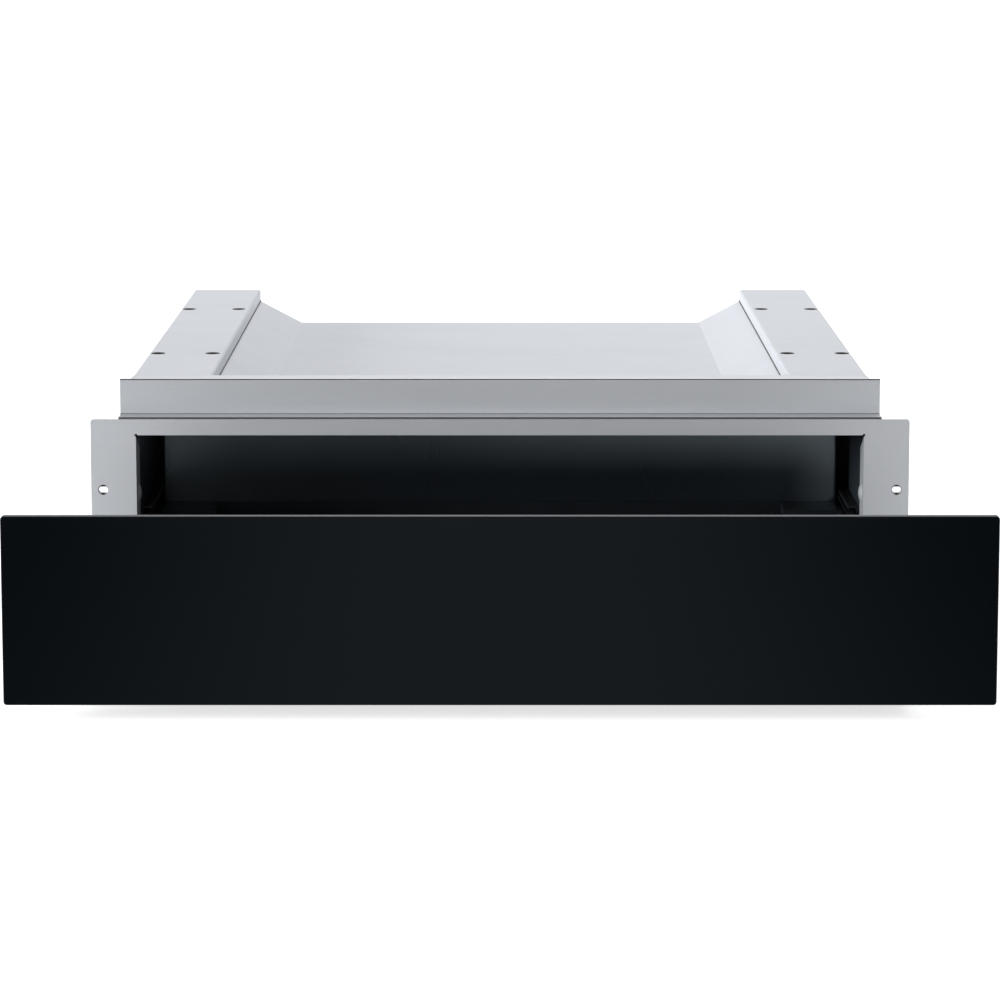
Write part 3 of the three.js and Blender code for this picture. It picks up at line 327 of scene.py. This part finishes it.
def mineral_wool():
    """A pressed mat of yellowish fibres."""
    made = Shader("mineral wool", (0.52, 0.45, 0.3), 0.95, Sheen_Weight=0.3)
    fibres = made.noise((7, 0.5, 0.5), 4, 0.7)
    crossed = made.noise((0.5, 7, 0.5), 4, 0.7)
    both = made.math("MAXIMUM", fibres, crossed)
    made.tint(made.spread(both, 0, 0.8, 0.4, 0.75), (0.7, 0.64, 0.48))
    made.tint(made.spread(made.noise(12, 3), 0, 0.5, 0.5, 0.8), (0.36, 0.3, 0.18))
    made.vary_roughness(both, 0.88, 1.0)
    made.bump(both, 0.4, 0.8)
    return made


def roller_steel():
    """Near-black rolled strip, with streaks along the slides and a trace of grease."""
    made = Shader("roller steel", (0.02, 0.0215, 0.0245), 0.45, 0.5, Specular_IOR_Level=0.3)
    streak = made.noise((0.4, 70, 0.4), 5, 0.65)
    made.tint(made.spread(streak, 0, 0.45, 0.42, 0.66), (0.04, 0.0425, 0.047))
    grease = made.noise((20, 45, 20), 3)
    made.tint(made.spread(grease, 0, 0.4, 0.52, 0.8), (0.02, 0.02, 0.02))
    made.vary_roughness(grease, 0.46, 0.3)
    made.bump(streak, 0.01, 0.4)
    return made


def spring_steel():
    """Bright drawn steel with faint stains."""
    made = Shader("spring steel", (0.4, 0.405, 0.415), 0.28, 0.95)
    stain = made.noise(5, 4, 0.6)
    made.tint(made.spread(stain, 0, 0.5, 0.45, 0.8), (0.28, 0.275, 0.27))
    made.vary_roughness(stain, 0.22, 0.38)
    made.bump(made.noise(0.3, 2), 0.01, 0.3)
    return made


def amber_lens():
    """Clear amber plastic, with the prisms on its inner face seen as fine facets."""
    made = Shader("amber lens", (0.62, 0.26, 0.035), 0.16, Coat_Weight=0.5, Coat_Roughness=0.05)
    facets = made.cells(1.2)
    made.tint(made.spread(facets, 0, 0.6, 0.2, 0.7), (0.8, 0.42, 0.09))
    made.vary_roughness(facets, 0.12, 0.24, 0.2, 0.8)
    return made


def painted_shade_strip():
    """Painted shade: dark grey strips for the shade in bends and gaps, with a skin that is a little
    wavy.
    """
    made = Shader("painted shade strip", (0.045, 0.048, 0.053), 0.6)
    skin = made.noise((8, 8, 1), 3)
    made.tint(made.spread(skin, 0, 0.5, 0.4, 0.8), (0.075, 0.08, 0.086))
    made.vary_roughness(skin, 0.52, 0.7)
    made.bump(skin, 0.05, 0.4)
    return made


def dial_print():
    """Pale printing ink, worn thin in places."""
    made = Shader("dial print", (0.6, 0.61, 0.62), 0.55)
    worn = made.noise(2.5, 4, 0.7)
    made.tint(made.spread(worn, 0, 0.5, 0.5, 0.8), (0.42, 0.43, 0.44))
    made.vary_roughness(worn, 0.48, 0.65)
    return made


LOOKS = {
    "zinc_sheet": zinc_sheet(),
    "brushed_steel": brushed_steel(),
    "black_enamel": black_enamel(),
    "black_glass": black_glass(),
    # A darker copy of the zinc for the housing's outer panels: painted shade against the strong
    # side light, with a bolder spangle
    "housing_sheet_painted_shade": zinc_sheet("housing sheet, painted shade", (0.516, 0.537, 0.572), 1.0),
    "inner_enamel": black_enamel(
        "inner enamel", (0.006, 0.0075, 0.0095), (0.44, 0.52), level=0.35, coat=0
    ),
    # A lighter copy of the black enamel for the side liners: painted sheen, for the reflections
    # that their gloss shows
    "liner_enamel_painted_sheen": black_enamel(
        "liner enamel, painted sheen", (0.02, 0.025, 0.032), (0.4, 0.46), level=0.4, coat=0
    ),
    "plate_glass": plate_glass(),
    "black_plastic": black_plastic(),
    "pale_plastic": pale_plastic(),
    "rubber": rubber(),
    "silicone": silicone(),
    "mineral_wool": mineral_wool(),
    "roller_steel": roller_steel(),
    "spring_steel": spring_steel(),
    "amber_lens": amber_lens(),
    # dark strips of painted shade in bends and gaps
    "painted_shade_strip": painted_shade_strip(),
    "dial_print": dial_print(),
}

# The looks of CAD nodes that differ from their material slot's own
SPECIAL_LOOKS = {
    "side_panel_left": "housing_sheet_painted_shade",
    "side_panel_right": "housing_sheet_painted_shade",
    "rear_panel": "housing_sheet_painted_shade",
    "base_pan": "housing_sheet_painted_shade",
    "heating_plate": "plate_glass",
    "deck_plate": "inner_enamel",
    "drawer_tray": "inner_enamel",
    "control_console": "inner_enamel",
    "corner_block_left": "inner_enamel",
    "corner_block_right": "inner_enamel",
    "side_liner_left": "liner_enamel_painted_sheen",
    "side_liner_right": "liner_enamel_painted_sheen",
    "ball_cage_outer_left": "roller_steel",
    "ball_cage_outer_right": "roller_steel",
    "ball_cage_inner_left": "roller_steel",
    "ball_cage_inner_right": "roller_steel",
}

EDGE_ROUNDING = 0.2
FOLD_ROUNDING = 0.4  # of the steel front pieces, which catch the light
SHARP_ANGLE = 40  # degrees


def dress_nodes():
    """Gives each CAD node its material and rounds its sharp edges a little."""
    for name, piece in frame["nodes"].items():
        look = LOOKS[SPECIAL_LOOKS.get(name, slot_of[name])]
        piece.material_slots[0].material = look.material
        bevel = piece.modifiers.new("edges", "BEVEL")
        bevel.width = (FOLD_ROUNDING if slot_of[name] == "brushed_steel" else EDGE_ROUNDING) * MM
        bevel.segments = 2
        bevel.limit_method = "ANGLE"
        bevel.angle_limit = math.radians(SHARP_ANGLE)
        bevel.harden_normals = False


# ------------------------------------------------------------------------------ shapes


class Shape:
    """A mesh in the making. Points and sizes are in millimetres."""

    def __init__(self):
        self.bm = bmesh.new()

    def skin(self, rings, loop=False):
        """Joins rings of points one after the other. The ends are closed, or joined as a loop."""
        rows = [[self.bm.verts.new(Vector(point) * MM) for point in ring] for ring in rings]
        follow = rows[1:] + rows[:1] if loop else rows[1:]
        for row, other in zip(rows, follow):
            for i in range(len(row)):
                j = (i + 1) % len(row)
                self.bm.faces.new((row[i], row[j], other[j], other[i]))
        if not loop:
            self.bm.faces.new(rows[0][::-1])
            self.bm.faces.new(rows[-1])

    def turn(self, at, out, profile, sides=24, loop=False, start=None):
        """Turns (height, radius) pairs about the direction out. A radius may vary by angle."""
        at, out = Vector(at), Vector(out).normalized()
        across = Vector(start or out.orthogonal()).normalized()
        beside = out.cross(across)
        angles = [math.tau * i / sides for i in range(sides)]

        def ring(height, radius):
            size = radius if callable(radius) else lambda angle: radius
            return [
                at + out * height + (across * math.cos(a) + beside * math.sin(a)) * size(a)
                for a in angles
            ]

        self.skin([ring(*pair) for pair in profile], loop)

    def tube(self, points, radius, sides=12):
        """A round section carried along a path without twisting."""
        path = [Vector(point) for point in points]
        across = (path[1] - path[0]).orthogonal().normalized()
        rings = []
        for i, point in enumerate(path):
            ahead = (path[min(i + 1, len(path) - 1)] - path[max(i - 1, 0)]).normalized()
            across = (across - ahead * across.dot(ahead)).normalized()
            beside = ahead.cross(across)
            turns = [math.tau * k / sides for k in range(sides)]
            rings.append(
                [point + (across * math.cos(a) + beside * math.sin(a)) * radius for a in turns]
            )
        self.skin(rings)

    def block(self, low, high, rounding=0.2):
        """A box whose edges are rounded."""
        centre = (Vector(low) + Vector(high)) / 2 * MM
        size = [abs(b - a) * MM for a, b in zip(low, high)]
        matrix = Matrix.Translation(centre) @ Matrix.Diagonal((*size, 1))
        verts = bmesh.ops.create_cube(self.bm, size=1, matrix=matrix)["verts"]
        edges = list({edge for vert in verts for edge in vert.link_edges})
        bmesh.ops.bevel(self.bm, geom=edges, offset=rounding * MM, segments=2, affect="EDGES")


def lobed(mean, lobes=6, depth=0.14):
    """A radius with lobes, for a driver recess."""
    return lambda angle: mean * (1 + depth * math.cos(lobes * angle))


def oblong(radius, play):
    """The radius of a hole that is lengthened to both sides, by the angle from that direction."""

    def at(angle):
        along, beside = abs(math.cos(angle)), abs(math.sin(angle))
        if along * radius <= play * beside:
            return radius / beside
        return play * along + math.sqrt(radius**2 - (play * beside) ** 2)

    return at


def pan_screw(shape, at, out, radius=3.4, height=1.8):
    """The head of a sheet-metal screw, with a flange and a lobed recess."""
    flange, recess = 1.25 * radius, 0.36 * radius
    profile = [
        (-0.1, flange),
        (0.2 * height, flange),
        (0.32 * height, 1.02 * radius),
        (0.55 * height, 0.97 * radius),
        (0.85 * height, 0.78 * radius),
        (height, 0.5 * radius),
        (height, lobed(recess)),
        (0.4 * height, lobed(0.92 * recess)),
    ]
    shape.turn(at, out, profile)


def rivet(shape, at, out, radius=2.4, height=1.0):
    """The head of a blind rivet, with the dimple of its pulled mandrel."""
    profile = [
        (-0.1, radius),
        (0.25 * height, radius),
        (0.75 * height, 0.8 * radius),
        (height, 0.5 * radius),
        (0.98 * height, 0.32 * radius),
        (0.6 * height, 0.28 * radius),
    ]
    shape.turn(at, out, profile, 20)


def rounded_outline(x, y0, y1, radius, z, steps=6):
    """Points round a rectangle from -x to x and y0 to y1, with rounded corners."""
    corners = [(x, y0, -90), (x, y1, 0), (-x, y1, 90), (-x, y0, 180)]
    points = []
    for cx, cy, start in corners:
        inner_x = cx - math.copysign(radius, cx)
        inner_y = cy + radius if cy == y0 else cy - radius
        for k in range(steps + 1):
            angle = math.radians(start + 90 * k / steps)
            around_x, around_y = radius * math.cos(angle), radius * math.sin(angle)
            points.append((inner_x + around_x, inner_y + around_y, z))
    return points


def smooth_route(points, steps=6):
    """A centripetal curve through the points."""
    path = [Vector(point) for point in points]
    path = [2 * path[0] - path[1], *path, 2 * path[-1] - path[-2]]
    route = []
    for p0, p1, p2, p3 in zip(path, path[1:], path[2:], path[3:]):
        d0, d1, d2 = ((b - a).length ** 0.5 for a, b in ((p0, p1), (p1, p2), (p2, p3)))
        leave = ((p1 - p0) / d0 - (p2 - p0) / (d0 + d1) + (p2 - p1) / d1) * d1
        arrive = ((p2 - p1) / d1 - (p3 - p1) / (d1 + d2) + (p3 - p2) / d2) * d1
        for k in range(steps):
            t = k / steps
            route.append(
                p1 * (2 * t**3 - 3 * t**2 + 1)
                + leave * (t**3 - 2 * t**2 + t)
                + p2 * (3 * t**2 - 2 * t**3)
                + arrive * (t**3 - t**2)
            )
    return [*route, path[-2]]


def add(name, shape, look, body, *replaced, slot=None, sharp=SHARP_ANGLE):
    """Makes a piece of a shape. It rides on a body, and may stand for CAD nodes."""
    bmesh.ops.recalc_face_normals(shape.bm, faces=shape.bm.faces)
    mesh = bpy.data.meshes.new(name)
    shape.bm.to_mesh(mesh)
    shape.bm.free()
    mesh.shade_smooth()
    mesh.set_sharp_from_angle(angle=math.radians(sharp))
    mesh.materials.append(LOOKS[look].material)
    made = link(bpy.data.objects.new(name, mesh))
    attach(made, body)
    if replaced:
        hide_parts(*replaced)
    return made


def place(node):
    """The lowest and the highest corner of a CAD node, in millimetres."""
    return [Vector(corner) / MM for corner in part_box(node)]


def middle(low, high):
    """The point halfway between two corners."""
    return (low + high) / 2


# ------------------------------------------------------------------------------ pieces


HOUSING_TOP = 140
FASCIA_FACE_Y = -249  # of the fascia strip's upright face
LEDGE_TOP = 114.2
LEDGE_BASE = 112.9


def make_painted_shade_lines():
    """Thin dark strips of painted shade where bends and gaps lie in shade: along the fascia's
    edges, over the frame, and at the rails' feet.
    """
    low, high = place("fascia_strip")
    front, back = FASCIA_FACE_Y - 0.15, FASCIA_FACE_Y + 0.2
    shape = Shape()
    # Painted shade: dark strips in the fascia's top bend and at its foot on the ledge
    for base, top in ((HOUSING_TOP - 0.8, HOUSING_TOP - 0.05), (LEDGE_TOP, LEDGE_TOP + 0.7)):
        shape.block((low.x, front, base), (high.x, back, top), 0.06)
    # Painted shade in the gap between the ledge and the frame's top
    shape.block((low.x, low.y - 0.2, LEDGE_BASE), (high.x, low.y + 0.1, LEDGE_TOP - 0.1), 0.08)
    add("fascia_painted_shade_lines", shape, "painted_shade_strip", "housing", slot="rubber")

    # Painted shade along the foot of each rail's inner wall
    low, high = place("support_rail_right")
    start, end = low.y + 16.5, high.y - 0.3
    shape = Shape()
    for _, side in SIDES:
        path = [(side * (low.x - 0.3), y, low.z + 0.1) for y in (start, end)]
        shape.tube(path, 0.5, 8)
    add("rail_foot_painted_shade_lines", shape, "painted_shade_strip", "housing", slot="rubber")


RAIL_HOLES_X = (218.8, 260.2)
RAIL_HOLES_Y = (-120.5, 135.8)
FRAME_HOLE_X = 286.3
FRAME_HOLE_Z = 61.3
FRAME_FACE_Y = -264
FRAME_HOLE_PLAY = 1.1  # sideways, from the hole's middle to either end's centre
HOLE_END_RADIUS = 2.25  # of each end of the hole, where its ring of painted shade begins


def make_hole_painted_shade():
    """Flush black rubber rings in the rails' holes and dark rings in the frame's countersinks, both
    painted shade for the shaded insides of the holes.
    """
    # Black rubber rings, painted shade round the rails' holes
    profile = [(-2.6, 3.4), (-2.6, 5.5), (-0.05, 5.5), (-0.25, 4.8), (-0.9, 3.4)]
    shape = Shape()
    for x in RAIL_HOLES_X:
        for y in RAIL_HOLES_Y:
            for _, side in SIDES:
                shape.turn((side * x, y, HOUSING_TOP), UP, profile, 36, loop=True)
    add("rail_hole_painted_shade_rings", shape, "rubber", "housing")

    # Dark rings on the countersinks: painted shade
    edge = oblong(HOLE_END_RADIUS, FRAME_HOLE_PLAY)
    profile = [(-0.06, 3.72), (-0.74, edge), (-0.66, edge), (-0.02, 3.6)]
    shape = Shape()
    for _, side in SIDES:
        at = (side * FRAME_HOLE_X, FRAME_FACE_Y, FRAME_HOLE_Z)
        shape.turn(at, FRONTWARD, profile, 48, loop=True, start=(1, 0, 0))
    add("countersink_painted_shade_rings", shape, "roller_steel", "housing")


# Fasteners of the right half, which the left half mirrors
REAR_SCREWS = ((259, 10), (259, 64), (259, 118), (150, 8), (60, 8), (60, 102), (160, 102))  # x, z
SIDE_SCREWS_Y = (-235, -115, 0, 115, 235)
SIDE_SCREWS_Z = 20
SIDE_RIVETS_Y = (-205, -60, 60, 205)
SIDE_RIVETS_Z = 118
BRACKET_SHEET = 1.5
DECK_SCREWS_X = 231
DECK_SCREWS_Y = (-600, -490, -380, -270)
CONSOLE_SCREW_X = 240
BACK_RIVETS = ((238, 20), (238, 86), (80, 20), (80, 86))  # x, z


def make_housing_screws():
    """Screws of the rear panel, and screws and spot rivets of the side panels."""
    rear = place("rear_panel")[1]
    shape = Shape()
    for x, z in REAR_SCREWS:
        for _, side in SIDES:
            pan_screw(shape, (side * x, rear.y, z), REARWARD)
    for _, side in SIDES:
        for y in SIDE_SCREWS_Y:
            pan_screw(shape, (side * rear.x, y, SIDE_SCREWS_Z), (side, 0, 0))
        for y in SIDE_RIVETS_Y:
            rivet(shape, (side * rear.x, y, SIDE_RIVETS_Z), (side, 0, 0))
    add("housing_screws", shape, "spring_steel", "housing")


def make_bracket_screws():
    """Screws from the front's brackets into the tray and into the carrier."""
    low, high = place("front_bracket_right")
    shape = Shape()
    for _, side in SIDES:
        for z in (low.z + 9, high.z - 9):
            at = (side * (low.x + BRACKET_SHEET), high.y - 9, z)
            pan_screw(shape, at, (side, 0, 0), radius=1.9, height=0.9)
            at = (side * (high.x - 8), low.y + BRACKET_SHEET, z)
            pan_screw(shape, at, REARWARD, radius=2.6, height=1.4)
    add("bracket_screws", shape, "spring_steel", "drawer")


def make_drawer_screws():
    """Black screws of the deck and the console, and rivets of the drawer's back."""
    deck = place("deck_plate")[1]
    console_low, console_high = place("control_console")
    back = place("back_panel")[1]
    shape = Shape()
    for _, side in SIDES:
        for y in DECK_SCREWS_Y:
            pan_screw(shape, (side * DECK_SCREWS_X, y, deck.z), UP, radius=2.4, height=1.3)
        at = (side * CONSOLE_SCREW_X, console_low.y + 19, console_high.z)
        pan_screw(shape, at, UP, radius=2.4, height=1.3)
        for x, z in BACK_RIVETS:
            rivet(shape, (side * x, back.y, z), REARWARD)
    add("drawer_screws", shape, "black_plastic", "drawer")


FLUTES = 18


def fluted(mean, depth=0.9):
    """A radius with rounded flutes."""
    return lambda angle: mean - depth * max(0, -math.cos(FLUTES * angle)) ** 2


def make_knob():
    """A fluted grip with a skirt and a printed pointer."""
    low, high = place("selector_knob")
    x, y, _ = middle(low, high)
    profile = [
        (0, 17.5),
        (0.3, 18),
        (1.2, 18),
        (1.5, 17.8),
        (2.5, 17),
        (2.7, fluted(16.98)),
        (11.2, fluted(16.3)),
        (12.1, fluted(15.9)),
        (12.7, fluted(15.1, 0.5)),
        (13, 14.5),
        (13, 12),
        (12.8, 4),
    ]
    shape = Shape()
    shape.turn((x, y, low.z), UP, profile, 8 * FLUTES)
    add("knob_grip", shape, "black_plastic", "selector", "selector_knob", sharp=50)
    shape = Shape()
    shape.block((x - 0.8, y + 5.7, high.z - 1.4), (x + 0.8, y + 14.7, high.z), 0.25)
    add("knob_pointer", shape, "dial_print", "selector", slot="pale_plastic")


DIAL_ANGLES = (50, 25, 0, -25, -50)  # degrees from +X, from the least heat to the most
DIAL_RADIUS = 21.5


def make_dial():
    """Dots beside the knob that grow with the heat."""
    low, high = place("selector_knob")
    x, y, _ = middle(low, high)
    shape = Shape()
    for k, degrees in enumerate(DIAL_ANGLES):
        angle = math.radians(degrees)
        at_x, at_y = x + DIAL_RADIUS * math.cos(angle), y + DIAL_RADIUS * math.sin(angle)
        size = 0.45 + 0.15 * k
        profile = [(-0.02, size), (0.05, size), (0.07, 0.9 * size)]
        shape.turn((at_x, at_y, low.z - 0.3), UP, profile, 20)
    add("dial_dots", shape, "dial_print", "drawer", slot="pale_plastic")


def make_lens():
    """The pilot lamp's domed lens, with a flange on the console."""
    low, high = place("pilot_lens")
    x, y, _ = middle(low, high)
    profile = [
        (0, 3.7),
        (3.3, 3.7),
        (3.3, 5),
        (3.7, 5),
        (4.1, 4.5),
        (4.5, 3.4),
        (4.75, 1.8),
        (4.8, 0.3),
    ]
    shape = Shape()
    shape.turn((x, y, low.z), UP, profile, 40)
    add("lens_dome", shape, "amber_lens", "drawer", "pilot_lens")


def make_bumpers():
    """Soft buffers on the carrier's lip, which meet the mounting frame."""
    profile = [
        (0, 4.1),
        (0.3, 4.45),
        (0.8, 4.5),
        (1.6, 4.2),
        (2.2, 3.7),
        (2.45, 3.1),
        (2.5, 2),
        (2.4, 0.5),
    ]
    for height in ("upper", "lower"):
        for name, _ in SIDES:
            node = f"front_bumper_{height}_{name}"
            low, high = place(node)
            x, _, z = middle(low, high)
            shape = Shape()
            shape.turn((x, low.y, z), REARWARD, profile, 32)
            add(f"bumper_{height}_{name}", shape, "rubber", "drawer", node)


def make_gland():
    """A cable bush with a ribbed nose. Its bore goes through."""
    low, high = place("cable_gland")
    x, _, z = middle(low, high)
    barrel = [(0, 4), (0, 8.4), (0.3, 8.7), (6.9, 8.7)]
    collar = [(6.9, 11.7), (7.2, 12), (8.6, 12), (8.9, 11.6), (9.9, 8.7)]
    ribs = []
    for k in range(4):
        start, radius = 10.4 + 1.3 * k, 8.3 - 0.6 * k
        ribs += [(start, radius), (start + 0.65, radius), (start + 0.75, radius - 0.9)]
    mouth = [(15.3, 6), (15.6, 5.6), (15.6, 4.4), (15.2, 4)]
    shape = Shape()
    shape.turn((x, low.y, z), REARWARD, barrel + collar + ribs + mouth, 48, loop=True)
    add("gland_bush", shape, "black_plastic", "housing", "cable_gland")


LEAD_RADIUS = 2.8
CLAMP_EXIT = (120, -161.4, 18)
LEAD_END = (-143, 250.4, 24)  # inside the terminal box
LEAD_ROUTE = [  # from the clamp down to the base pan, in bends over it and up to the terminal box
    (120, -157.4, 18),
    (120, -154.4, 18),
    (120, -145.4, 15),
    (120, -136.4, 9.2),
    (117, -127, 4.4),
    (106, -109, 4.4),
    (60, -81, 4.4),
    (-10, -61, 4.4),
    (-60, -25, 4.4),
    (-50, 19, 4.4),
    (10, 51, 4.4),
    (60, 91, 4.4),
    (40, 139, 4.4),
    (-20, 164, 4.4),
    (-56, 196, 4.4),
    (-74, 228, 4.4),
    (-95, 246.4, 6.4),
    (-113, 250.4, 15),
    (-127, 250.4, 23),
    (-135, 250.4, 24),
    LEAD_END,
]


def make_lead():
    """The lead from the terminal box to the drawer."""
    shape = Shape()
    shape.tube(smooth_route(LEAD_ROUTE), LEAD_RADIUS, 14)
    lead = add("lead_cable", shape, "silicone", "housing", "supply_lead", sharp=60)
    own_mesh(lead)


def make_lead_boot():
    """A sleeve on the lead where it leaves its clamp, with the end that the clamp holds."""
    profile = [(-4, LEAD_RADIUS), (0.2, LEAD_RADIUS), (0.2, 3.7), (0.6, 4), (3.4, 3.7), (4.3, 3.2)]
    shape = Shape()
    shape.turn(CLAMP_EXIT, REARWARD, profile, 32)
    add("lead_boot", shape, "rubber", "drawer")


LATCH_X = 225
LATCH_Z = 26
COIL_RADIUS = 3.2  # to the middle of the wire
COIL_WIRE = 0.45
COIL_TURNS = 5
COIL_STEPS = 20  # per turn


def coil_path(x, start, end):
    """Points of a coil about a line along Y, from one end to the other."""
    count = COIL_TURNS * COIL_STEPS
    path = []
    for k in range(count + 1):
        angle = math.tau * COIL_TURNS * k / count
        y = start + (end - start) * k / count
        around_x, around_z = COIL_RADIUS * math.cos(angle), COIL_RADIUS * math.sin(angle)
        path.append((x + around_x, y, LATCH_Z + around_z))
    return path


def make_latch_coils():
    """Coil springs, held at the rear end, which the plungers bear on."""
    for name, side in SIDES:
        node = f"latch_spring_{name}"
        low, high = place(node)
        shape = Shape()
        shape.tube(coil_path(side * LATCH_X, low.y + COIL_WIRE, high.y - COIL_WIRE), COIL_WIRE, 8)
        coil = add(f"latch_coil_{name}", shape, "spring_steel", "housing", node, sharp=60)
        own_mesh(coil)


BORDER_INSET = 9  # of the printed line from the plate's edge
BORDER_WIDTH = 0.8
BORDER_RADIUS = 12


def make_plate_print():
    """A fine printed line round the heating plate."""
    low, high = place("heating_plate")
    base, top = high.z - 0.05, high.z + 0.03
    rings = []
    for in_by, z in ((0, base), (0, top), (BORDER_WIDTH, top), (BORDER_WIDTH, base)):
        inset, radius = BORDER_INSET + in_by, BORDER_RADIUS - in_by
        rings.append(rounded_outline(high.x - inset, low.y + inset, high.y - inset, radius, z))
    shape = Shape()
    shape.skin(rings, loop=True)
    add("plate_border", shape, "dial_print", "drawer", slot="pale_plastic")


# ------------------------------------------------------------------------------ stage


FASCIA = ("fascia_strip", "mounting_frame")
CAVITY = ("back_panel", "cavity_ceiling", "side_liner_left", "side_liner_right")

# Name, width and height, place, the point it faces (all in metres), watts, and the only pieces that
# it lights. Where none is named, it lights everything.
LAMPS = (
    ("left window", (3, 1.6), (-5, -1.9, 1.02), (0, -0.1, 0.1), 290, ()),
    ("right fill", (1.6, 1.2), (1.5, 0.8, 2.3), (0, 0, 0.1), 14, ()),
    ("back top", (1.2, 0.8), (0.1, 0.95, 1.25), (0, 0, 0.1), 6.5, ()),
    ("front", (0.8, 0.3), (0, -2.75, 0.4), (0, -0.25, 0.1), 6, FASCIA),
    ("low right", (0.2, 0.12), (0.5, -2.6, 0.32), (0.15, -0.17, 0.09), 14, CAVITY),
    ("low left", (0.4, 0.16), (-0.52, -2.6, 0.33), (-0.15, -0.17, 0.09), 2.0, CAVITY),
)


def make_lamp(name, size, at, aim, watts, nodes):
    """A soft lamp, which may light some pieces alone."""
    data = bpy.data.lights.new(name, "AREA")
    data.shape = "RECTANGLE"
    data.size, data.size_y = size
    data.energy = watts
    made = link(bpy.data.objects.new(name, data))
    made.location = at
    made.rotation_euler = (Vector(aim) - Vector(at)).to_track_quat("-Z", "Y").to_euler()
    if nodes:
        lit = bpy.data.collections.new(name)
        for node in nodes:
            lit.objects.link(frame["nodes"][node])
        made.light_linking.receiver_collection = lit


def seen_rays(nodes):
    """1 for rays from the camera and for reflected and refracted ones, 0 for light on surfaces."""
    rays = nodes.node("ShaderNodeLightPath").outputs
    either = nodes.math("MAXIMUM", rays["Is Camera Ray"], rays["Is Glossy Ray"])
    return nodes.math("MAXIMUM", either, rays["Is Transmission Ray"])


WORLD_LIGHT = 0.34  # on surfaces, where 1 is what is seen


def make_world():
    """A white surround as it is seen, which lights surfaces more softly."""
    world = bpy.data.worlds.new("studio")
    world.use_nodes = True
    nodes = Nodes(world.node_tree)
    background = nodes.tree.nodes["Background"]
    background.inputs["Color"].default_value = (1, 1, 1, 1)
    strength = nodes.spread(seen_rays(nodes), WORLD_LIGHT, 1)
    nodes.tree.links.new(strength, background.inputs["Strength"])
    bpy.context.scene.world = world


def make_sheet(name, corners):
    """A single four-sided face with a material that is still empty, and that material's nodes."""
    mesh = bpy.data.meshes.new(name)
    mesh.from_pydata(corners, [], [(0, 1, 2, 3)])
    made = link(bpy.data.objects.new(name, mesh))
    material = bpy.data.materials.new(name)
    material.use_nodes = True
    material.node_tree.nodes.clear()
    mesh.materials.append(material)
    return made, Nodes(material.node_tree)


FLOOR_REACH = 12  # metres, each way
FLOOR_DROP = 0.3  # below the object
FLOOR_SHADE = 0.9
FLOOR_GLOW = 0.7  # on seen rays, so that the lit floor looks white


def make_floor():
    """A plain pale floor. It looks white where nothing shades it."""
    around = ((-1, -1), (1, -1), (1, 1), (-1, 1))
    corners = [(x * FLOOR_REACH, y * FLOOR_REACH, -FLOOR_DROP * MM) for x, y in around]
    floor, nodes = make_sheet("floor", corners)
    color = (FLOOR_SHADE, FLOOR_SHADE, FLOOR_SHADE, 1)
    matt = nodes.node("ShaderNodeBsdfDiffuse", {"Color": color})
    level = nodes.math("MULTIPLY", seen_rays(nodes), FLOOR_GLOW)
    glow = nodes.node("ShaderNodeEmission", {"Strength": level})
    both = nodes.node("ShaderNodeAddShader", {0: matt.outputs[0], 1: glow.outputs[0]})
    nodes.node("ShaderNodeOutputMaterial", {"Surface": both.outputs[0]})


GLOW_EDGES = (0.05, 0.4)  # metres from the middle, between which the glow changes
FADE_SIDE = 0.55  # of the half width, from where a card fades
FADE_END = 0.6  # of the reach


def make_card(name, at, tilt, half_width, reach, glow):
    """A card that only reflections show. It fades out towards its sides and its far end.

    Its near edge is at the point, and it is tilted back from the floor by so many degrees.
    The glow goes from one value in the middle to another at the sides. Lengths are in metres.
    """
    low, high = -half_width, half_width
    card, nodes = make_sheet(name, [(low, 0, 0), (high, 0, 0), (high, reach, 0), (low, reach, 0)])
    card.location = at
    card.rotation_euler = (math.radians(tilt), 0, 0)
    card.visible_camera = False
    card.visible_diffuse = False
    card.visible_shadow = False
    card.visible_transmission = False

    where = nodes.node("ShaderNodeTexCoord").outputs["Object"]
    across, along, _ = nodes.node("ShaderNodeSeparateXYZ", {0: where}).outputs
    aside = nodes.math("ABSOLUTE", across)
    soft = {"interpolation_type": "SMOOTHSTEP"}
    strength = nodes.spread(aside, *glow, *GLOW_EDGES, **soft)
    light = nodes.node("ShaderNodeEmission", {"Strength": strength})
    to_side = nodes.spread(aside, 1, 0, FADE_SIDE * half_width, half_width, **soft)
    to_end = nodes.spread(along, 1, 0, FADE_END * reach, reach, **soft)
    clear = nodes.node("ShaderNodeBsdfTransparent")
    inputs = {0: nodes.math("MULTIPLY", to_side, to_end), 1: clear.outputs[0], 2: light.outputs[0]}
    mixed = nodes.node("ShaderNodeMixShader", inputs)
    nodes.node("ShaderNodeOutputMaterial", {"Surface": mixed.outputs[0]})


# ------------------------------------------------------------------------------ build

bpy.context.scene.view_settings.view_transform = "Standard"
make_camera()
make_world()
make_floor()
make_card("floor card", (0, -0.6845, 0.001), 180, 0.95, 1.0, (1.05, 0.27))
make_card("room card", (0, -2.8, 0.33), 90, 3.2, 2.4, (0.36, 0.36))
for settings in LAMPS:
    make_lamp(*settings)

dress_nodes()
make_painted_shade_lines()
make_hole_painted_shade()
make_housing_screws()
make_bracket_screws()
make_drawer_screws()
make_knob()
make_dial()
make_lens()
make_bumpers()
make_gland()
make_lead()
make_lead_boot()
make_latch_coils()
make_plate_print()
